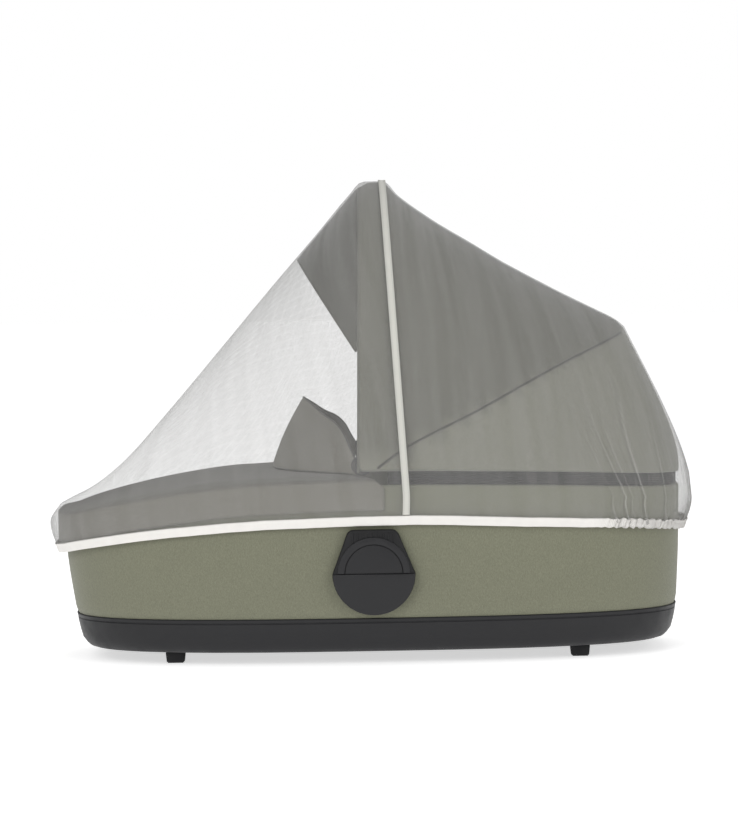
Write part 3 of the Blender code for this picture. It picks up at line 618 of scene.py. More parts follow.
def hood_point(place, share, side=-1):
    """Point of the hood's surface: place is x on the rim, share climbs to the middle."""
    turn = turn_at_x(place, RIM_FOOT_X, RIM_HEAD_X)
    x, y = loop_xy(turn, RIM_FOOT_X, RIM_HEAD_X, RIM_HALF_WIDTH - HOOD_THICKNESS / 2)
    if place >= RIM_HEAD_X:
        x, y = RIM_HEAD_X - HOOD_THICKNESS / 2, 0.0
    start = Vector((x, y, rim_height(x) + STRIPE_HEIGHT + 0.0012))
    shape = [smooth(HOOD_RIBS, place, column) for column in range(1, 5)]
    point = arch(start, *shape, outward_in_plan(turn), share)
    point.y *= -side
    return point


def both_sides(shares):
    """Sides and shares of a walk up the near side and down the far side."""
    return [(-1, share) for share in shares] + [(1, share) for share in shares[::-1][1:]]


def places_on_rim(start_x, count, end_x=RIM_HEAD_X):
    """Even places along the rim between two x, as x."""
    _, lengths, xs = half_loop(RIM_FOOT_X, RIM_HEAD_X, RIM_HALF_WIDTH)
    first, last = np.interp([start_x, end_x], xs, lengths)
    places = [float(np.interp(mark, lengths, xs)) for mark in np.linspace(first, last, count)]
    places[0], places[-1] = start_x, end_x
    return places


def apron_point(place, share, side):
    """Point of the apron: share runs up the skirt, over the rim and in to the middle."""
    turn = turn_at_x(place, RIM_FOOT_X, RIM_HEAD_X)
    grow = APRON_OUT
    x, y = loop_xy(turn, RIM_FOOT_X - grow, RIM_HEAD_X + grow, RIM_HALF_WIDTH + grow)
    if place <= RIM_FOOT_X:
        y = 0.0
    rim = rim_height(max(x, RIM_FOOT_X))
    tip_length, tip_out, tip_up = APRON_TIP
    tip = max(1.0 - (place - RIM_FOOT_X) / tip_length, 0.0) ** 2
    x -= tip * tip_out
    rim += tip * tip_up
    below = (1 - min(share / APRON_SKIRT_SHARE, 1.0)) * (APRON_SKIRT + APRON_TURN)
    corner = APRON_CORNER - math.sqrt(
        APRON_CORNER ** 2 - max(APRON_CORNER - below, 0.0) ** 2
    )
    x -= corner * min(max((place - APRON_END_X) / 0.030 + 1.0, 0.0), 1.0)
    if share <= APRON_SKIRT_SHARE:
        z = rim - APRON_SKIRT + (APRON_SKIRT + APRON_TURN) * share / APRON_SKIRT_SHARE
        return Vector((x, y * -side, z))
    inward = (share - APRON_SKIRT_SHARE) / (1 - APRON_SKIRT_SHARE)
    span = (place - RIM_FOOT_X) / (APRON_END_X - RIM_FOOT_X)
    middle_x = APRON_CROWN[0][0] + (APRON_CROWN[-1][0] - APRON_CROWN[0][0]) * span ** APRON_SPREAD
    crown = smooth(APRON_CROWN, middle_x)
    over = smooth(APRON_OVER_RIM, place)
    across = math.cos(inward * math.pi / 2)
    top = rim + APRON_TURN + (over - APRON_TURN) * min(inward * 3.0, 1.0) ** 0.7
    z = top + (crown - rim - over) * max(inward * 1.5 - 0.5, 0.0)
    return Vector((middle_x + (x - middle_x) * across ** 2, y * across * -side, z))


# ---------------------------------------------------------------- mesh helpers

def deselect_all():
    if bpy.context.mode != "OBJECT":
        bpy.ops.object.mode_set(mode="OBJECT")
    bpy.ops.object.select_all(action="DESELECT")


def activate(piece):
    deselect_all()
    piece.select_set(True)
    bpy.context.view_layer.objects.active = piece


def apply_modifiers(piece):
    activate(piece)
    for modifier in list(piece.modifiers):
        bpy.ops.object.modifier_apply(modifier=modifier.name)


def linked(name, mesh):
    """Smooth object of a mesh, in the scene."""
    mesh.shade_smooth()
    piece = bpy.data.objects.new(name, mesh)
    bpy.context.scene.collection.objects.link(piece)
    return piece


def grid_piece(name, rows, cut=None, closed=False, inside=INSIDE, marks=None):
    """Sheet through rows of points. cut gives each point its place on the flat cut, in metres."""
    columns = len(rows[0])
    points = [tuple(point) for row in rows for point in row]
    faces = []
    for i in range(len(rows) if closed else len(rows) - 1):
        a, b = i * columns, (i + 1) % len(rows) * columns
        faces += [(a + j, a + j + 1, b + j + 1, b + j) for j in range(columns - 1)]
    mesh = bpy.data.meshes.new(name)
    mesh.from_pydata(points, [], faces)
    places = cut or flat_places(rows)
    layer = mesh.uv_layers.new(name="cut")
    flat = [place for row in places for place in row]
    for loop in mesh.loops:
        layer.data[loop.index].uv = flat[loop.vertex_index]
    for key, values in (marks or {}).items():
        attribute = mesh.attributes.new(key, "FLOAT", "POINT")
        attribute.data.foreach_set("value", values)
    sheet = bmesh.new()
    sheet.from_mesh(mesh)
    bmesh.ops.remove_doubles(sheet, verts=sheet.verts, dist=0.00002)
    bmesh.ops.dissolve_degenerate(sheet, edges=sheet.edges, dist=0.00001)
    bmesh.ops.recalc_face_normals(sheet, faces=sheet.faces)
    balance = sum(
        face.normal.dot(face.calc_center_median() - inside) * face.calc_area()
        for face in sheet.faces
    )
    if balance < 0:
        bmesh.ops.reverse_faces(sheet, faces=sheet.faces)
    sheet.to_mesh(mesh)
    sheet.free()
    return linked(name, mesh)


def flat_places(rows):
    """Where each point of a sheet lies on the flat cut: along its row, and from row to row."""
    grid = np.array([[tuple(point) for point in row] for row in rows])
    along = np.linalg.norm(np.diff(grid, axis=1), axis=2)
    along = np.concatenate([np.zeros((len(grid), 1)), np.cumsum(along, axis=1)], axis=1)
    along -= along[:, along.shape[1] // 2][:, None]
    across = np.linalg.norm(np.diff(grid, axis=0), axis=2)
    across = np.concatenate([np.zeros((1, grid.shape[1])), np.cumsum(across, axis=0)])
    return [[(float(u), float(v)) for u, v in zip(us, vs)] for us, vs in zip(across, along)]


def thicken(piece, thickness, rounding=1):
    """Cloth thickness either side of the sheet, its edges rounded by a subdivision."""
    solid = piece.modifiers.new("cloth_thickness", "SOLIDIFY")
    solid.thickness = thickness
    solid.offset = 0.0
    solid.use_even_offset = True
    solid.use_quality_normals = True
    if rounding:
        rounder = piece.modifiers.new("rounded_edges", "SUBSURF")
        rounder.levels = rounder.render_levels = rounding
    apply_modifiers(piece)
    piece.data.shade_smooth()


def tube_piece(name, path, radius, sides=8, squash=1.0, normals=None):
    """Round or flattened tube along a path, closed at both ends."""
    rows = []
    up_hint = Vector((0.0, 0.0, 1.0))
    for i, point in enumerate(path):
        before, after = path[max(i - 1, 0)], path[min(i + 1, len(path) - 1)]
        along = (after - before).normalized()
        out = normals[i] if normals else along.cross(up_hint)
        out = (out - along * out.dot(along)).normalized()
        wide = along.cross(out).normalized()
        rows.append([
            point + out * (radius * squash * math.cos(a)) + wide * (radius * math.sin(a))
            for a in (2 * math.pi * j / sides for j in range(sides))
        ])
    points = [tuple(p) for row in rows for p in row]
    faces = [tuple(range(sides)), tuple(range(len(points) - sides, len(points)))]
    for i in range(len(rows) - 1):
        for j in range(sides):
            k = (j + 1) % sides
            a, b = i * sides, (i + 1) * sides
            faces.append((a + j, a + k, b + k, b + j))
    mesh = bpy.data.meshes.new(name)
    mesh.from_pydata(points, [], faces)
    tube = bmesh.new()
    tube.from_mesh(mesh)
    bmesh.ops.recalc_face_normals(tube, faces=tube.faces)
    tube.to_mesh(mesh)
    tube.free()
    return linked(name, mesh)


def section(height, foot_x, head_x, half_width, count=TUB_POINTS):
    """Plan loop of points at even lengths of edge, its height a number or a function of x."""
    turns, lengths, _ = half_loop(foot_x, head_x, half_width)
    half = count // 2
    loop = []
    for i in range(count):
        place = i if i <= half else count - i
        turn = float(np.interp(lengths[-1] * place / half, lengths, turns))
        x, y = loop_xy(turn, foot_x, head_x, half_width)
        y = 0.0 if place in (0, half) else y if i <= half else -y
        loop.append(Vector((x, y, height(x) if callable(height) else height)))
    return loop


def extruded_shell(name, loops, fill_first=True):
    """Circle shaped to the first loop, then extruded and shaped to each of the next."""
    deselect_all()
    bpy.ops.mesh.primitive_circle_add(vertices=len(loops[0]), radius=1.0)
    piece = bpy.context.active_object
    piece.name = piece.data.name = name
    for vertex, point in zip(piece.data.vertices, loops[0]):
        vertex.co = point
    bpy.ops.object.mode_set(mode="EDIT")
    bpy.ops.mesh.select_all(action="SELECT")
    if fill_first:
        bpy.ops.mesh.edge_face_add()
        bpy.ops.mesh.select_all(action="SELECT")
    for before, after in zip(loops, loops[1:]):
        bpy.ops.mesh.extrude_edges_move()
        shape = bmesh.from_edit_mesh(piece.data)
        index = {tuple(round(c, 5) for c in point): i for i, point in enumerate(before)}
        for vertex in shape.verts:
            if vertex.select:
                vertex.co = after[index[tuple(round(c, 5) for c in vertex.co)]]
        bmesh.update_edit_mesh(piece.data)
    bpy.ops.mesh.edge_face_add()
    bpy.ops.mesh.select_all(action="SELECT")
    bpy.ops.mesh.normals_make_consistent(inside=False)
    bpy.ops.object.mode_set(mode="OBJECT")
    bpy.ops.object.shade_smooth_by_angle(angle=math.radians(40))
    return piece


def finish_piece(piece, material, slot, *nodes):
    """Gives a piece its material and ties it to the frame."""
    piece.data.materials.clear()
    piece.data.materials.append(material)
    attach(piece, BODY)
    if nodes:
        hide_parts(*nodes)


# ---------------------------------------------------------------- shader nodes

class Wire:
    """A shader socket that can be used in arithmetic."""

    def __init__(self, finish, socket):
        self.finish = finish
        self.socket = socket

    def maths(self, operation, *values):
        return self.finish.node("ShaderNodeMath", {"operation": operation}, dict(enumerate(values)))

    def __add__(self, other):
        return self.maths("ADD", self, other)

    def __sub__(self, other):
        return self.maths("SUBTRACT", self, other)

    def __rsub__(self, other):
        return self.maths("SUBTRACT", other, self)

    def __mul__(self, other):
        return self.maths("MULTIPLY", self, other)

    def __truediv__(self, other):
        return self.maths("DIVIDE", self, other)

    __radd__ = __add__
    __rmul__ = __mul__

    def sine(self):
        return self.maths("SINE", self)

    def size(self):
        return self.maths("ABSOLUTE", self)

    def lesser(self, other):
        return self.maths("MINIMUM", self, other)

    def between(self, low, high, start=0.0, end=1.0):
        """Smooth step from start to end while the value climbs from low to high."""
        return self.finish.node(
            "ShaderNodeMapRange", {"interpolation_type": "SMOOTHSTEP"},
            {"Value": self, "From Min": low, "From Max": high, "To Min": start, "To Max": end},
        )


class Finish:
    """A material whose nodes are added one at a time."""

    def __init__(self, name, roughness=0.8, **fixed):
        self.material = bpy.data.materials.new(name)
        self.material.use_nodes = True
        self.tree = self.material.node_tree
        self.shader = self.tree.nodes["Principled BSDF"]
        self.set("Roughness", roughness)
        for socket, value in fixed.items():
            self.set(socket.replace("_", " "), value)

    def set(self, socket, value):
        if isinstance(value, Wire):
            self.tree.links.new(value.socket, self.shader.inputs[socket])
        else:
            self.shader.inputs[socket].default_value = value

    def node(self, kind, settings=None, sockets=None, output=0):
        node = self.tree.nodes.new(kind)
        for key, value in (settings or {}).items():
            setattr(node, key, value)
        for key, value in (sockets or {}).items():
            if isinstance(value, Wire):
                self.tree.links.new(value.socket, node.inputs[key])
            else:
                node.inputs[key].default_value = value
        return Wire(self, node.outputs[output])

    def place(self):
        return self.node("ShaderNodeTexCoord", output="Object")

    def cut(self):
        """Across and along on the flat cut, in metres."""
        uv = self.node("ShaderNodeUVMap", {"uv_map": "cut"})
        parts = self.node("ShaderNodeSeparateXYZ", None, {0: uv})
        return parts, Wire(self, parts.socket.node.outputs[1])

    def mark(self, name):
        return self.node("ShaderNodeAttribute", {"attribute_name": name}, output="Fac")

    def noise(self, place, scale, detail=2.0, roughness=0.55):
        return self.node("ShaderNodeTexNoise", None, {
            "Vector": place, "Scale": scale, "Detail": detail, "Roughness": roughness,
        })

    def stretched(self, place, scale):
        return self.node("ShaderNodeMapping", None, {"Vector": place, "Scale": scale})

    def mix(self, factor, first, second):
        def colour(value):
            return value if isinstance(value, Wire) else (*value[:3], 1.0)
        return self.node(
            "ShaderNodeMix", {"data_type": "RGBA", "clamp_factor": True},
            {0: factor, 6: colour(first), 7: colour(second)}, output=2,
        )

    def bump(self, height, distance, strength=1.0):
        self.set("Normal", self.node(
            "ShaderNodeBump", None, {"Height": height, "Distance": distance, "Strength": strength},
        ))


def shade(colour, factor):
    return tuple(min(c * factor, 1.0) for c in colour[:3])


def net_weave(look):
    """Knotted net: two slanting sets of thread with open holes between them."""
    finish = Finish("net_weave", 0.75, Sheen_Weight=0.25, Sheen_Roughness=0.5)
    across, along = finish.cut()
    turn = math.pi / look.weave_pitch
    first = ((across + along) * turn).sine().size()
    second = ((across - along) * turn).sine().size()
    bare = math.sqrt(1.0 - look.thread_share)
    width = math.sin((1.0 - bare) * math.pi / 2)
    reach = finish.mark("dense") * 0.45 + width
    thread = (first.lesser(second) - reach).between(*WEAVE_STEP)
    flat = finish.node("ShaderNodeUVMap", {"uv_map": "cut"})
    streaks = finish.noise(finish.stretched(flat, STREAK_SCALE), 1.0, 3.0)
    finish.set("Alpha", thread * streaks.between(*STREAK_STEP))
    cloud = finish.noise(finish.place(), 9.0, 3.0)
    tone = finish.mix(cloud, shade(look.thread, 0.95), shade(look.thread, 1.05))
    # Painted highlight: thread lighter along the tops of the gathers
    tone = finish.mix(finish.mark("painted_highlight") * 0.85, tone, shade(look.thread, 1.6))
    # Painted shade: thread darker beside the gathers, along the ridge and at the tips
    tone = finish.mix(finish.mark("painted_shade"), tone, shade(look.thread, 0.18))
    finish.set("Base Color", tone)
    return finish.material


def woven(name, colour, light, dark, pitch, mark=None, painted_light_scale=1.0):
    """Woven cloth of mixed yarns: lighter and darker flecks over a fine weave."""
    finish = Finish(name, 0.9, Sheen_Weight=0.2, Sheen_Roughness=0.5)
    place = finish.place()
    yarns = finish.noise(finish.stretched(place, (1.0, 1.0, 2.6)), 1.0 / pitch, 2.0, 0.7)
    slubs = finish.noise(finish.stretched(place, (2.2, 2.2, 0.8)), 0.45 / pitch, 2.0, 0.6)
    patches = finish.noise(place, 14.0, 3.0, 0.6)
    flecks = (yarns * 0.55 + slubs * 0.45).between(0.36, 0.64)
    tone = flecks * 0.85 + patches * 0.15
    base = finish.mix(tone, shade(colour, dark), shade(colour, light))
    # Painted light or painted shade: where a mark is given, that attribute blends in a lighter or
    # darker copy of the cloth
    if mark:
        other = finish.mix(tone, shade(colour, dark * painted_light_scale), shade(colour, light * painted_light_scale))
        base = finish.mix(finish.mark(mark), base, other)
    finish.set("Base Color", base)
    finish.bump(yarns + slubs * 0.6, 0.0006, 0.5)
    return finish.material


def tape_cloth(name, colour, width, stitch_rows, stitch_length=0.0030):
    """Twill tape with rows of stitches along it."""
    finish = Finish(name, 0.82, Sheen_Weight=0.15, Sheen_Roughness=0.5)
    across, along = finish.cut()
    twill = ((across * 0.8 + along) * (2 * math.pi / 0.0011)).sine()
    sunk = None
    for row in stitch_rows:
        line = (across - row).size().between(0.00025, 0.00075, 1.0, 0.0)
        stitch = (along * (math.pi / stitch_length)).sine().size().between(0.12, 0.45)
        hole = line * (1.0 - stitch * 0.75)
        sunk = hole if sunk is None else sunk + hole
    edge = across.size().between(width / 2 - 0.0011, width / 2 - 0.0002)
    cloud = finish.noise(finish.place(), 30.0, 3.0)
    tone = finish.mix(cloud, shade(colour, 0.93), shade(colour, 1.04))
    tone = finish.mix(edge * 0.6, tone, shade(colour, 0.45))
    if sunk is not None:
        tone = finish.mix(sunk * 0.55, tone, shade(colour, 0.45))
        finish.bump(twill * 0.10 - sunk, 0.0008, 0.7)
    else:
        finish.bump(twill, 0.0003, 0.6)
    finish.set("Base Color", tone)
    return finish.material


def elastic_cloth(look):
    """Soft binding whose elastic draws it into small cross ribs, with painted shade between the
    ribs.
    """
    finish = Finish("net_binding_cloth", 0.80, Sheen_Weight=0.25, Sheen_Roughness=0.5)
    across, along = finish.cut()
    gather = finish.mark("gather")
    uneven = finish.noise(finish.place(), 90.0, 2.0)
    ribs = ((across + uneven * 0.0035) * (2 * math.pi / 0.0032)).sine() * gather
    stitch = (along - 0.0098).size().between(0.0003, 0.0008, 1.0, 0.0)
    dashes = (across * (math.pi / 0.0028)).sine().size().between(0.15, 0.5)
    sunk = stitch * (1.0 - dashes * 0.7)
    tone = finish.mix(uneven, shade(look.binding, 0.94), shade(look.binding, 1.04))
    # Painted shade: darker between the ribs where the elastic gathers the binding
    tone = finish.mix(ribs.between(-0.9, 0.4, 0.35, 0.0) * gather, tone, shade(look.binding, 0.5))
    tone = finish.mix(sunk * 0.40, tone, shade(look.binding, 0.5))
    finish.set("Base Color", tone)
    finish.bump(ribs * 0.5 - sunk, 0.0009, 0.7)
    return finish.material


def moulded(name, colour, roughness, grain):
    """Moulded plastic with a fine grain, a little rubbed in patches."""
    finish = Finish(name, roughness, Specular_IOR_Level=0.32)
    place = finish.place()
    pebbles = finish.node(
        "ShaderNodeTexVoronoi", {"feature": "SMOOTH_F1"},
        {"Vector": place, "Scale": 1.0 / grain, "Smoothness": 0.6},
    )
    wear = finish.noise(place, 40.0, 4.0, 0.65)
    finish.set("Base Color", finish.mix(wear, shade(colour, 0.85), shade(colour, 1.25)))
    finish.set("Roughness", wear.between(0.35, 0.75, roughness - 0.06, roughness + 0.08))
    finish.bump(pebbles, grain * 0.20, 0.35)
    return finish.material


def webbing(look):
    """Dark woven band with lengthwise ribs."""
    finish = Finish("rim_webbing", 0.9, Specular_IOR_Level=0.2)
    across, along = finish.cut()
    ribs = (along * (2 * math.pi / 0.0026)).sine()
    cross = (across * (2 * math.pi / 0.0016)).sine()
    cloud = finish.noise(finish.place(), 120.0, 3.0)
    finish.set("Base Color", finish.mix(cloud, shade(look.webbing, 0.8), shade(look.webbing, 1.35)))
    finish.bump(ribs * 0.7 + cross * 0.3, 0.0004, 0.7)
    return finish.material


# ---------------------------------------------------------------- pieces

class CarrycotPiece:
    """What the operators of all pieces share."""

    bl_options = {"REGISTER", "UNDO"}

    def execute(self, context):
        self.build(context.scene.net_look, context.scene.carrycot_look)
        return {"FINISHED"}


class CARRYCOT_OT_net_panels(CarrycotPiece, bpy.types.Operator):
    """Builds the front and rear panels of the net with their gathers."""

    bl_idname = "carrycot.net_panels"
    bl_label = "Net panels"

    def build(self, net, cot):
        material = net_weave(net)
        hem = Hem()
        seam = hem.length_at_x(TAPE_HEM_X)
        cuts = {
            "net_front": (0.0, seam - SEAM_GAP / 2, "net_front_panel", (1.30, 0.60), 0.56),
            "net_rear": (seam + SEAM_GAP / 2, hem.half, "net_rear_panel", (1.30, 0.56), 0.59),
        }
        for name, (start, end, node, flat, area) in cuts.items():
            panel = self.panel(name, hem, start, end)
            finish_piece(panel, material, "net_mesh", node)
            flat[0] * flat[1] * area

    def panel(self, name, hem, start, end):
        shares = net_shares()
        rows, marks = [], {"dense": [], "painted_highlight": [], "painted_shade": []}
        for length in hem.stations(start, end):
            row = []
            for side, order in (("near", shares), ("far", shares[::-1][1:])):
                rib = Rib(hem, length, side)
                for share in order:
                    row.append(rib.at(share))
                    # Painted highlight and painted shade of the gathers, kept as attributes
                    painted_highlight, painted_shade = rib.fold_painted_light(share)
                    marks["dense"].append(rib.dense(share))
                    marks["painted_highlight"].append(painted_highlight)
                    marks["painted_shade"].append(painted_shade)
            rows.append(row)
        return grid_piece(name, rows, marks=marks)


class CARRYCOT_OT_net_tape(CarrycotPiece, bpy.types.Operator):
    """Builds the tape over the seam of the net, from hem to hem."""

    bl_idname = "carrycot.net_tape"
    bl_label = "Seam tape"

    def build(self, net, cot):
        hem = Hem()
        middle = hem.length_at_x(TAPE_HEM_X)
        half = [
            TAPE_LOW_SHARE + (1 - TAPE_LOW_SHARE) * i / TAPE_ROWS for i in range(TAPE_ROWS + 1)
        ]
        across = (-0.5, -0.42, -0.2, 0.0, 0.2, 0.42, 0.5)
        rows = []
        for side, order in (("near", half), ("far", half[::-1][1:])):
            ribs = [Rib(hem, middle + step, side) for step in (-0.002, 0.0, 0.002)]
            for share in order:
                behind, centre, ahead = (rib.at(share) for rib in ribs)
                wide = (ahead - behind).normalized()
                up = ribs[1].at(min(share + 0.004, 1.0)) - ribs[1].at(share - 0.004)
                if share == 1.0:
                    up = Vector((0.0, 1.0, 0.0))
                normal = wide.cross(up).normalized()
                if normal.dot(centre - INSIDE) < 0:
                    normal = -normal
                rows.append([
                    centre + wide * (place * TAPE_WIDTH)
                    + normal * (TAPE_LIFT + TAPE_EDGE_FOLD * (0.3 < abs(place) < 0.45))
                    for place in across
                ])
        places = flat_places(rows)
        cut = [[(v, u) for u, v in row] for row in places]
        tape = grid_piece("net_tape", rows, cut=cut)
        thicken(tape, TAPE_THICKNESS, rounding=0)
        cloth = tape_cloth("net_tape_cloth", net.tape, TAPE_WIDTH, (-0.0030, 0.0030))
        finish_piece(tape, cloth, "net_white_tape", "net_seam_tape")


class CARRYCOT_OT_net_binding(CarrycotPiece, bpy.types.Operator):
    """Builds the elastic binding that is folded round the net's lower edge."""

    bl_idname = "carrycot.net_binding"
    bl_label = "Hem binding"

    def build(self, net, cot):
        hem = Hem()
        gathers = hem.length_at_x(SCRUNCH_START_X - 0.02)
        plain = round(gathers / BINDING_STEP)
        half = [gathers * i / plain for i in range(plain)]
        fine = round((hem.half - gathers) / (GATHER_STEP * 0.8))
        half += [gathers + (hem.half - gathers) * i / fine for i in range(fine + 1)]
        walk = [("near", length) for length in half]
        walk += [("far", length) for length in half[::-1][1:-1]]
        ribs = [Rib(hem, length, side) for side, length in walk]
        rows, gather = [], []
        for i, ((side, length), rib) in enumerate(zip(walk, ribs)):
            low, high = rib.at(0.0), rib.at(0.09)
            along = (ribs[(i + 1) % len(ribs)].at(0.0) - ribs[i - 1].at(0.0)).normalized()
            up = (high - low).normalized()
            out = along.cross(up).normalized()
            if out.dot(Vector((low.x, low.y, 0.0))) < 0:
                out = -out
            ramp = min(max((length - hem.scrunch_start) / SCRUNCH_RISE, 0.0), 1.0)
            puff = 1.0 + ramp * self.wave(BINDING_PUFF, length)
            drift, scale = BINDING_DRIFT
            drop = ramp * self.wave(BINDING_RUFFLE, length)
            drop += drift * noise.noise(
                Vector((length * scale, 3.0 if side == "far" else 0.0, 0.0))
            )
            rows.append([
                low + out * side_step * (puff if side_step > 0 else 1.0) + up * (rise + drop)
                for side_step, rise in self.profile()
            ])
            gather += [0.12 + 0.88 * ramp] * len(rows[-1])
        binding = grid_piece("net_binding", rows, closed=True, marks={"gather": gather})
        finish_piece(binding, elastic_cloth(net), "net_white_binding", "net_hem_binding")

    def wave(self, wave, length):
        size, period, phase = wave
        return size * math.sin(2 * math.pi * length / period + phase)

    def profile(self):
        """Outline of the folded binding: steps out from the net's edge and up from it."""
        inner = BINDING_HALF - BINDING_WALL
        top = BINDING_HEIGHT - BINDING_DROP
        outline = [
            (inner, top * 0.4), (inner, top - 0.0002), (inner + 0.0003, top + 0.0003),
            (BINDING_HALF - 0.0002, top + 0.0001), (BINDING_HALF, top - 0.0007),
            (BINDING_HALF - 0.0001, top * 0.75), (BINDING_HALF - 0.0003, top * 0.62),
            (BINDING_HALF + 0.0001, top * 0.40), (BINDING_HALF + 0.0003, top * 0.15),
            (BINDING_HALF, -0.0004), (BINDING_HALF * 0.70, -BINDING_DROP + 0.0002),
            (0.0, -BINDING_DROP),
        ]
        back = [(-step, rise) for step, rise in outline[::-1][1:]]
        return outline + back + [(-inner, -0.0002), (inner, -0.0002), outline[0]]


class CARRYCOT_OT_tub(CarrycotPiece, bpy.types.Operator):
    """Builds the cloth-covered tub with its rounded rim."""

    bl_idname = "carrycot.tub"
    bl_label = "Tub"

    def build(self, net, cot):
        border_z, foot_x, head_x, half_width = TUB_BORDER
        middle, foot_out, head_out, side_out = WALL_MIDDLE
        foot = ((0.0, foot_x), (middle, foot_x - foot_out), (1.0, RIM_FOOT_X))
        head = ((0.0, head_x), (middle, head_x + head_out), (1.0, RIM_HEAD_X))
        side = ((0.0, half_width), (middle, half_width + side_out), (1.0, RIM_HALF_WIDTH))

        def wall(share):
            tuck = TUB_TUCK * max(1.0 - share / 0.07, 0.0) ** 2
            return section(
                lambda x: border_z + share * (rim_height(x) - RIM_ROUND - border_z),
                smooth(foot, share) + tuck, smooth(head, share) - tuck,
                smooth(side, share) - tuck,
            )

        def ring(inset, below):
            return section(
                lambda x: rim_height(x) - below,
                RIM_FOOT_X + inset, RIM_HEAD_X - inset, RIM_HALF_WIDTH - inset,
            )

        loops = [wall(share) for share in WALL_SHARES]
        for step in range(1, 4):
            angle = step * math.pi / 6
            loops.append(ring(RIM_ROUND * (1 - math.cos(angle)), RIM_ROUND * (1 - math.sin(angle))))
        for step in range(0, 4):
            angle = step * math.pi / 6
            loops.append(ring(
                TUB_WALL - RIM_ROUND * (1 - math.sin(angle)), RIM_ROUND * (1 - math.cos(angle)),
            ))
        for share in (0.25, 0.5, 0.75, 0.94):
            loops.append(section(
                lambda x: TUB_FLOOR + (1 - share) * (rim_height(x) - RIM_ROUND - TUB_FLOOR),
                RIM_FOOT_X + TUB_WALL + (foot_x - RIM_FOOT_X) * share,
                RIM_HEAD_X - TUB_WALL + (head_x - RIM_HEAD_X) * share,
                RIM_HALF_WIDTH - TUB_WALL + (half_width - RIM_HALF_WIDTH) * share,
            ))
        for beside, rise in ((0.004, 0.0006), (0.012, 0.0)):
            inset = TUB_WALL + beside
            loops.append(section(
                TUB_FLOOR + rise, foot_x + inset, head_x - inset, half_width - inset,
            ))
        tub = extruded_shell("tub_shell", loops)
        cloth = woven("tub_cloth", cot.tub, 1.18, 0.80, 0.0011)
        finish_piece(tub, cloth, "olive_fabric", "carrycot_tub")


class CARRYCOT_OT_base(CarrycotPiece, bpy.types.Operator):
    """Builds the moulded base with the groove under its upper lip, and finishes the feet."""

    bl_idname = "carrycot.base"
    bl_label = "Base and feet"

    def build(self, net, cot):
        loops = [section(*values) for values in BASE_SECTIONS]
        base = extruded_shell("base_shell", loops)
        plastic = moulded("base_plastic", cot.plastic, 0.52, 0.0012)
        finish_piece(base, plastic, "dark_plastic", "carrycot_base")
        rubber = moulded("foot_rubber", shade(cot.plastic, 0.7), 0.72, 0.0008)
        for number in range(1, 5):
            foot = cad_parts[f"carrycot_foot_{number}"]
            foot.data.materials.clear()
            foot.data.materials.append(rubber)


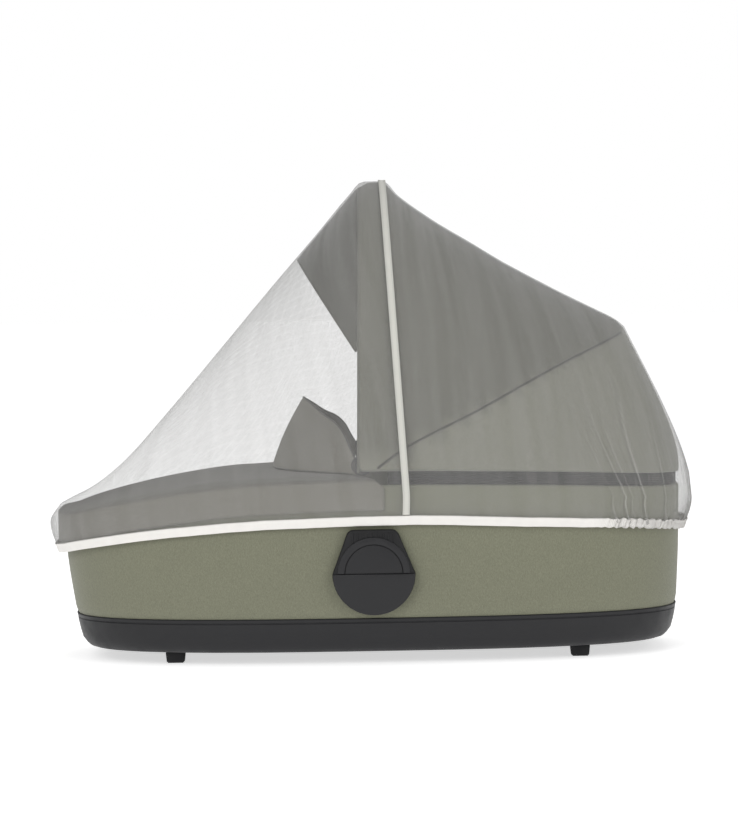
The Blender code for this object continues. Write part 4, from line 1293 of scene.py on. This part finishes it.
class CARRYCOT_OT_lugs(CarrycotPiece, bpy.types.Operator):
    """Builds the carrying lug on each side of the tub: plate, half disc, half ring and grip."""

    bl_idname = "carrycot.lugs"
    bl_label = "Carrying lugs"

    def build(self, net, cot):
        plastic = moulded("lug_plastic", shade(cot.plastic, 0.95), 0.42, 0.0009)
        dark = moulded("lug_grip_plastic", shade(cot.plastic, 0.45), 0.55, 0.0009)
        gap = 0.0002
        for name, side in (("near", -1), ("far", 1)):
            plate = self.slab(f"lug_plate_{name}", self.plate(), side, 0.0, LUG_PLATE, 0.0024)
            finish_piece(plate, dark, "dark_plastic", f"carry_lug_{name}")
            for kind, outline, front, rounding in (
                ("cover", self.cover(), LUG_FRONT, 0.0012),
                ("ring", self.ring(), LUG_RING[2], 0.0008),
                ("hub", self.hub(), LUG_PLATE + 0.0010, 0.0004),
            ):
                piece = self.slab(
                    f"lug_{kind}_{name}", outline, side, LUG_PLATE + gap, front, rounding,
                )
                finish_piece(piece, plastic, "dark_plastic")
            finish_piece(self.grip(name, side, gap), dark, "dark_plastic")

    def arc(self, radius, start, end, steps, lift=0.0):
        """Points of an arc about the lug's middle, a lift above it."""
        return [
            Vector((
                LUG_MIDDLE[0] + radius * math.cos(start + (end - start) * i / steps),
                LUG_MIDDLE[1] + lift + radius * math.sin(start + (end - start) * i / steps),
            ))
            for i in range(steps + 1)
        ]

    def plate(self):
        """Half a disc below, and a cap that narrows upward to two rounded corners."""
        outline = self.arc(LUG_RADIUS, math.pi, 2 * math.pi, 44)
        left, right = Vector((LUG_TOP_X[0], LUG_TOP_Z)), Vector((LUG_TOP_X[1], LUG_TOP_Z))
        for corner, before, after in ((right, outline[-1], left), (left, right, outline[0])):
            start = corner + (before - corner).normalized() * LUG_TOP_ROUND
            end = corner + (after - corner).normalized() * LUG_TOP_ROUND
            outline += [
                start * (1 - t) ** 2 + corner * (2 * t * (1 - t)) + end * t * t
                for t in (i / 6 for i in range(7))
            ]
        return outline

    def cover(self):
        return self.arc(LUG_RADIUS - 0.0004, math.pi, 2 * math.pi, 44)

    def ring(self):
        outer, inner, _ = LUG_RING
        return (
            self.arc(outer, 0.0, math.pi, 36, LUG_SPLIT)
            + self.arc(inner, math.pi, 0.0, 36, LUG_SPLIT)
        )

    def hub(self):
        return self.arc(LUG_RING[1] - 0.0011, 0.0, math.pi, 36, LUG_SPLIT)

    def inset(self, outline, distance):
        """Outline drawn in by a distance."""
        drawn = []
        for i, point in enumerate(outline):
            before = (point - outline[i - 1]).normalized()
            after = (outline[(i + 1) % len(outline)] - point).normalized()
            lean = Vector((-before.y - after.y, before.x + after.x))
            drawn.append(point + lean * (distance / max(1.0 + before.dot(after), 0.5)))
        return drawn

    def slab(self, name, outline, side, low, high, rounding):
        """Flat piece laid on the tub's side between two heights over it, its front edge rounded."""
        (low_z, low_y), (high_z, high_y) = LUG_BACK
        lean = (high_y - low_y) / (high_z - low_z)
        loops = []
        for inset, depth in (
            (0.0002, low), (0.0, low + 0.0002), (0.0, high - rounding),
            (rounding * 0.13, high - rounding * 0.5), (rounding * 0.5, high - rounding * 0.13),
            (rounding, high),
        ):
            loops.append([
                Vector((
                    point.x,
                    side * (LUG_GAP + depth + low_y + lean * (point.y - low_z)),
                    point.y,
                ))
                for point in self.inset(outline, inset)
            ])
        return extruded_shell(name, loops)

    def grip(self, name, side, gap):
        """Row of small upright ribs over the cap, as one piece."""
        first, last, count, width, front = LUG_RIBS
        ribs = []
        for i in range(count):
            x = first + (last - first) * i / (count - 1)
            away = x - LUG_MIDDLE[0]
            low = LUG_MIDDLE[1] + math.sqrt((LUG_RING[0] + 0.0016) ** 2 - away * away)
            corners = (
                (x - width / 2, low), (x + width / 2, low),
                (x + width / 2, LUG_TOP_Z - 0.0036), (x - width / 2, LUG_TOP_Z - 0.0036),
            )
            outline = [Vector(corner) for corner in corners]
            ribs.append(self.slab(f"rib_{name}", outline, side, LUG_PLATE + gap, front, 0.0005))
        deselect_all()
        for rib in ribs:
            rib.select_set(True)
        bpy.context.view_layer.objects.active = ribs[0]
        bpy.ops.object.join()
        ribs[0].name = ribs[0].data.name = f"lug_grip_{name}"
        return ribs[0]


class CARRYCOT_OT_hood(CarrycotPiece, bpy.types.Operator):
    """Builds the hood's canopy with the edge of its front bow and its rear seam."""

    bl_idname = "carrycot.hood"
    bl_label = "Hood"

    def build(self, net, cot):
        shares = [i / HOOD_ROWS for i in range(HOOD_ROWS + 1)]
        rows, gore_painted_light = [], []
        for place in places_on_rim(HOOD_RIBS[0][0], HOOD_COLUMNS):
            row = []
            for side, share in both_sides(shares):
                point = hood_point(place, share, side)
                point -= self.sag(point, place, share)
                row.append(point)
                gore_painted_light.append(self.tone(point, place))
            rows.append(row)
        canopy = grid_piece("hood", rows, marks={"gore_painted_light": gore_painted_light})
        bvh = BVHTree.FromObject(canopy, bpy.context.evaluated_depsgraph_get())
        thicken(canopy, HOOD_THICKNESS)
        # Painted light: the rear panel and the front band get a lighter copy of the hood cloth
        cloth = woven("hood_cloth", cot.hood, 1.20, 0.78, 0.0012, "gore_painted_light", 1.82)
        finish_piece(canopy, cloth, "taupe_fabric", "hood_canopy")
        self.edge(rows[0], cloth)
        thread = woven("hood_seam_cloth", shade(cot.hood, 0.35), 1.20, 0.78, 0.0012)
        for name, side in (("near", -1), ("far", 1)):
            self.seam(f"hood_seam_{name}", side, bvh, thread)

    def tone(self, point, place):
        """Painted light: 1 on the rear panel, painted lighter where it takes more light, a smaller
        share on the front band, 0 between them.
        """
        blend, band_painted_light = HOOD_PAINTED_LIGHT
        rear = (smooth(HOOD_SEAM, point.x) - point.z) / blend
        if point.x > HOOD_SEAM[-1][0]:
            rear = max(rear, (point.x - HOOD_SEAM[-1][0]) / blend)
        band = band_painted_light if place < HOOD_BAND_X else 0.0
        return max(min(max(rear, 0.0), 1.0), band)

    def sag(self, point, place, share):
        """The cloth draws in a little between the bows."""
        start, end = HOOD_BAND_X, 0.36
        if not start < place < end:
            return Vector((0.0, 0.0, 0.0))
        wave = math.sin((place - start) / (end - start) * math.pi) * math.sin(share * math.pi)
        away = Vector((0.0, point.y, max(point.z - 0.30, 0.0)))
        return away.normalized() * (HOOD_SAG * wave) if away.length > 1e-6 else away

    def edge(self, path, cloth):
        """Rounded edge of the front bow."""
        normals = [(point - INSIDE).normalized() for point in path]
        bead = tube_piece("hood_front_edge", path, 0.0018, 10, normals=normals)
        finish_piece(bead, cloth, "taupe_fabric")

    def seam(self, name, side, bvh, cloth):
        """Felled seam laid on the canopy's outer face."""
        path, normals = [], []
        for x in np.linspace(HOOD_SEAM[0][0], HOOD_SEAM[-1][0], 70):
            z = smooth(HOOD_SEAM, float(x))
            hit, normal, _, _ = bvh.ray_cast(Vector((x, side * 1.0, z)), Vector((0.0, -side, 0.0)))
            if hit is None:
                continue
            normal = normal if normal.y * side > 0 else -normal
            path.append(hit + normal * (HOOD_THICKNESS / 2 + 0.0001))
            normals.append(normal)
        seam = tube_piece(name, path, HOOD_SEAM_WIDTH / 2, 8, squash=0.22, normals=normals)
        finish_piece(seam, cloth, "taupe_fabric")


class CARRYCOT_OT_rim_band(CarrycotPiece, bpy.types.Operator):
    """Builds the dark webbing that carries the hood round the rim."""

    bl_idname = "carrycot.rim_band"
    bl_label = "Rim band"

    def build(self, net, cot):
        turns, lengths, xs = half_loop(RIM_FOOT_X, RIM_HEAD_X, RIM_HALF_WIDTH)
        start = float(np.interp(STRIPE_FRONT_X, xs, lengths))
        half = [
            float(np.interp(mark, lengths, turns))
            for mark in np.linspace(start, lengths[-1], STRIPE_COLUMNS)
        ]
        rows = []
        for side, turn in both_sides(half):
            x, y = loop_xy(
                turn, RIM_FOOT_X + STRIPE_INSET, RIM_HEAD_X - STRIPE_INSET,
                RIM_HALF_WIDTH - STRIPE_INSET,
            )
            y = 0.0 if turn == turns[-1] else y * -side
            low, tall = rim_height(x) + 0.0006, STRIPE_HEIGHT + STRIPE_TUCK
            rows.append([Vector((x, y, low + tall * i / 8)) for i in range(9)])
        band = grid_piece("rim_band", rows)
        thicken(band, STRIPE_THICKNESS)
        finish_piece(band, webbing(cot), "dark_webbing", "hood_rim_band")


class CARRYCOT_OT_visor(CarrycotPiece, bpy.types.Operator):
    """Builds the visor with its bound front edge."""

    bl_idname = "carrycot.visor"
    bl_label = "Visor"

    def build(self, net, cot):
        front = HOOD_RIBS[0][0]
        trials = np.linspace(0, 1, 400)
        start = next(share for share in trials if hood_point(front, share).z >= VISOR_END_Z)
        shares = [float(share) for share in np.linspace(start, 1.0, VISOR_ROWS + 1)]
        crown = hood_point(front, 1.0)
        rows = []
        for side, share in both_sides(shares):
            root = hood_point(front, share, side)
            grown = (root.z - VISOR_END_Z) / (crown.z - VISOR_END_Z)
            tip = Vector((
                root.x + (VISOR_TIP[0] - crown.x) * grown,
                root.y * (1 - VISOR_NARROWING * grown),
                VISOR_END_Z + (VISOR_TIP[1] - VISOR_END_Z) * grown,
            ))
            root.x -= VISOR_GAP
            tip.x -= VISOR_GAP + VISOR_END_DEPTH * (1 - grown)
            rows.append([root.lerp(tip, step / VISOR_STEPS) for step in range(VISOR_STEPS + 1)])
        visor = grid_piece("visor", rows)
        thicken(visor, VISOR_THICKNESS)
        cloth = woven("visor_cloth", shade(cot.hood, 0.56), 1.20, 0.78, 0.0012)
        finish_piece(visor, cloth, "taupe_fabric", "hood_visor")
        path = [row[-1] for row in rows]
        edge = tube_piece("visor_edge", path, VISOR_EDGE_RADIUS, 8)
        finish_piece(edge, cloth, "taupe_fabric")


class CARRYCOT_OT_hinges(CarrycotPiece, bpy.types.Operator):
    """Finishes the round cover over each end of the hood's front bow."""

    bl_idname = "carrycot.hinges"
    bl_label = "Hinge covers"

    def build(self, net, cot):
        plastic = moulded("hinge_plastic", cot.plastic, 0.45, 0.0008)
        for name in ("near", "far"):
            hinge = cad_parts[f"hood_hinge_{name}"]
            hinge.data.materials.clear()
            hinge.data.materials.append(plastic)


class CARRYCOT_OT_apron(CarrycotPiece, bpy.types.Operator):
    """Builds the apron over the foot end and its wind flap."""

    bl_idname = "carrycot.apron"
    bl_label = "Apron and wind flap"

    def build(self, net, cot):
        # Painted shade: the apron's top is darker than its skirt, where it takes less light
        cloth = woven("apron_cloth", cot.apron, 1.16, 0.80, 0.0013, "top", 0.65)
        skirt = [APRON_SKIRT_SHARE * i / 8 for i in range(9)]
        top = [APRON_SKIRT_SHARE + (1 - APRON_SKIRT_SHARE) * i / 24 for i in range(1, 25)]
        shares = skirt + top
        rows, top_painted_shade = [], []
        for place in places_on_rim(RIM_FOOT_X, APRON_COLUMNS, APRON_END_X):
            row = []
            for side, share in both_sides(shares):
                point = apron_point(place, share, side)
                point.z += self.crease(point, share, side)
                row.append(point)
                # Painted shade on the top, none on the skirt
                top_painted_shade.append(min(max((share - APRON_SKIRT_SHARE) / 0.04, 0.0), 1.0))
            rows.append(row)
        apron = grid_piece("apron", rows, inside=UNDER_APRON, marks={"top": top_painted_shade})
        thicken(apron, APRON_THICKNESS)
        finish_piece(apron, cloth, "taupe_fabric", "apron_cover")
        flap_rows = self.flap_rows()
        flap = grid_piece("wind_flap", flap_rows, inside=Vector((0.4, 0.0, 0.2)))
        thicken(flap, FLAP_THICKNESS)
        flap_cloth = woven("flap_cloth", shade(cot.apron, 1.22), 1.16, 0.80, 0.0013)
        finish_piece(flap, flap_cloth, "taupe_fabric", "apron_wind_flap")
        edge = tube_piece("flap_edge", [row[-1] for row in flap_rows], FLAP_EDGE_RADIUS, 8)
        edge_cloth = woven("flap_edge_cloth", shade(cot.apron, 0.30), 1.1, 0.9, 0.0012)
        finish_piece(edge, edge_cloth, "taupe_fabric")

    def crease(self, point, share, side):
        """Soft troughs and ridges across the top, none on the skirt."""
        inward = (share - APRON_SKIRT_SHARE) / (1 - APRON_SKIRT_SHARE)
        if inward <= 0:
            return 0.0
        lift = 0.0
        for x, reach, height, half_width in APRON_CREASES:
            away = (point.x - x + 0.25 * abs(point.y) * side * 0.3) / half_width
            lift += height * math.exp(-away * away) * math.sin(min(inward / reach, 1.0) * math.pi)
        drift, scale = APRON_DRIFT
        drift *= noise.noise(Vector((point.x * scale, point.y * scale, 0.4)))
        return lift + drift * math.sin(min(inward, 1.0) * math.pi)

    def flap_rows(self):
        widest = FLAP_EDGE[-1][0]
        rows = []
        for i in range(-FLAP_COLUMNS, FLAP_COLUMNS + 1):
            place = i / FLAP_COLUMNS
            across = abs(place) * widest
            top = Vector((
                smooth(FLAP_EDGE, across, 1),
                math.copysign(across, place) * FLAP_HALF_WIDTH,
                smooth(FLAP_EDGE, across, 2),
            ))
            inward = math.acos(abs(top.y) / (RIM_HALF_WIDTH + APRON_OUT)) / (math.pi / 2)
            seat = apron_point(
                APRON_END_X - FLAP_SET_BACK,
                APRON_SKIRT_SHARE + (1 - APRON_SKIRT_SHARE) * inward, -1,
            )
            low = seat.z + APRON_THICKNESS / 2 + FLAP_LIFT
            bottom = Vector((min(seat.x, FLAP_END_X), top.y, min(low, top.z - 0.012)))
            row = []
            for step in range(FLAP_STEPS + 1):
                up = step / FLAP_STEPS
                point = bottom.lerp(top, up)
                point.x -= FLAP_BULGE * math.sin(up * math.pi) * (1 - abs(place))
                row.append(point)
            rows.append(row)
        return rows


# ---------------------------------------------------------------- stage

class CARRYCOT_OT_stage(bpy.types.Operator):
    """Sets up the floor, the soft light and the camera."""

    bl_idname = "carrycot.stage"
    bl_label = "Stage"
    bl_options = {"REGISTER", "UNDO"}

    def execute(self, context):
        look = context.scene.stage_look
        self.floor(look)
        self.room(context.scene, look)
        for light in LIGHTS:
            self.soft_light(context.scene, *light, look)
        self.camera(context.scene, look)
        return {"FINISHED"}

    def floor(self, look):
        deselect_all()
        bpy.ops.mesh.primitive_plane_add(size=40.0, location=(0.0, 0.0, -0.0004))
        floor = bpy.context.active_object
        floor.name = "floor"
        finish = Finish("floor_paper", 0.9, Specular_IOR_Level=0.0)
        finish.set("Emission Strength", look.floor_glow)
        finish.set("Emission Color", (1.0, 1.0, 1.0, 1.0))
        cloud = finish.noise(finish.place(), 0.7, 2.0)
        tone = finish.mix(cloud, shade(look.floor, 0.995), shade(look.floor, 1.005))
        finish.set("Base Color", tone)
        floor.data.materials.append(finish.material)

    def room(self, scene, look):
        world = bpy.data.worlds.new("white_room")
        world.use_nodes = True
        nodes, links = world.node_tree.nodes, world.node_tree.links
        light = nodes["Background"]
        light.inputs["Color"].default_value = (1.0, 1.0, 1.0, 1.0)
        light.inputs["Strength"].default_value = look.room_light
        backdrop = nodes.new("ShaderNodeBackground")
        backdrop.inputs["Color"].default_value = (1.0, 1.0, 1.0, 1.0)
        choose, ray = nodes.new("ShaderNodeMixShader"), nodes.new("ShaderNodeLightPath")
        links.new(ray.outputs["Is Camera Ray"], choose.inputs[0])
        links.new(light.outputs[0], choose.inputs[1])
        links.new(backdrop.outputs[0], choose.inputs[2])
        links.new(choose.outputs[0], nodes["World Output"].inputs["Surface"])
        scene.world = world

    def soft_light(self, scene, name, place, size, energy, look):
        lamp = bpy.data.lights.new(name, "AREA")
        lamp.shape = "DISK"
        lamp.size = size
        lamp.energy = energy
        light = bpy.data.objects.new(name, lamp)
        light.location = place
        towards = Vector(look.aim) - Vector(place)
        light.rotation_euler = towards.to_track_quat("-Z", "Y").to_euler()
        scene.collection.objects.link(light)

    def camera(self, scene, look):
        data = bpy.data.cameras.new("camera")
        data.sensor_width = SENSOR_MM
        shown_height = FRAME_HEIGHT_PX * PHOTO_MM_PER_PX / ENLARGED / 1000.0
        data.lens = SENSOR_MM * look.distance / shown_height
        data.dof.use_dof = False
        camera = bpy.data.objects.new("camera", data)
        back = Vector((0.0, -math.cos(look.elevation), math.sin(look.elevation)))
        camera.location = Vector(look.aim) + back * look.distance
        camera.rotation_mode = "QUATERNION"
        turn = (-back).to_track_quat("-Z", "Y")
        camera.rotation_quaternion = turn @ Quaternion((0.0, 0.0, 1.0), -look.roll)
        data.clip_end = 100.0
        scene.collection.objects.link(camera)
        scene.camera = camera
        scene.view_settings.view_transform = "Standard"


class CARRYCOT_PT_panel(bpy.types.Panel):
    """Lists the settings and the pieces."""

    bl_label = "Mosquito net on a carrycot"
    bl_idname = "CARRYCOT_PT_panel"
    bl_space_type = "VIEW_3D"
    bl_region_type = "UI"
    bl_category = PANEL_TAB

    def draw(self, context):
        for group in (
            context.scene.net_look, context.scene.carrycot_look, context.scene.stage_look,
        ):
            box = self.layout.box()
            for name in group.__annotations__:
                box.prop(group, name)
        for piece in PIECES:
            self.layout.operator(piece.bl_idname)


PIECES = (
    CARRYCOT_OT_net_panels,
    CARRYCOT_OT_net_tape,
    CARRYCOT_OT_net_binding,
    CARRYCOT_OT_tub,
    CARRYCOT_OT_base,
    CARRYCOT_OT_lugs,
    CARRYCOT_OT_hood,
    CARRYCOT_OT_rim_band,
    CARRYCOT_OT_visor,
    CARRYCOT_OT_hinges,
    CARRYCOT_OT_apron,
    CARRYCOT_OT_stage,
)
GROUPS = {"net_look": NetLook, "carrycot_look": CarrycotLook, "stage_look": StageLook}


def register():
    for entry in (*GROUPS.values(), *PIECES, CARRYCOT_PT_panel):
        bpy.utils.register_class(entry)
    for name, group in GROUPS.items():
        setattr(bpy.types.Scene, name, bpy.props.PointerProperty(type=group))


def unregister():
    for name in GROUPS:
        delattr(bpy.types.Scene, name)
    for entry in (CARRYCOT_PT_panel, *PIECES[::-1], *list(GROUPS.values())[::-1]):
        bpy.utils.unregister_class(entry)


def main():
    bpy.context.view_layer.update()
    register()
    for piece in PIECES:
        group, name = piece.bl_idname.split(".")
        getattr(getattr(bpy.ops, group), name)()


if __name__ == "__main__":
    main()
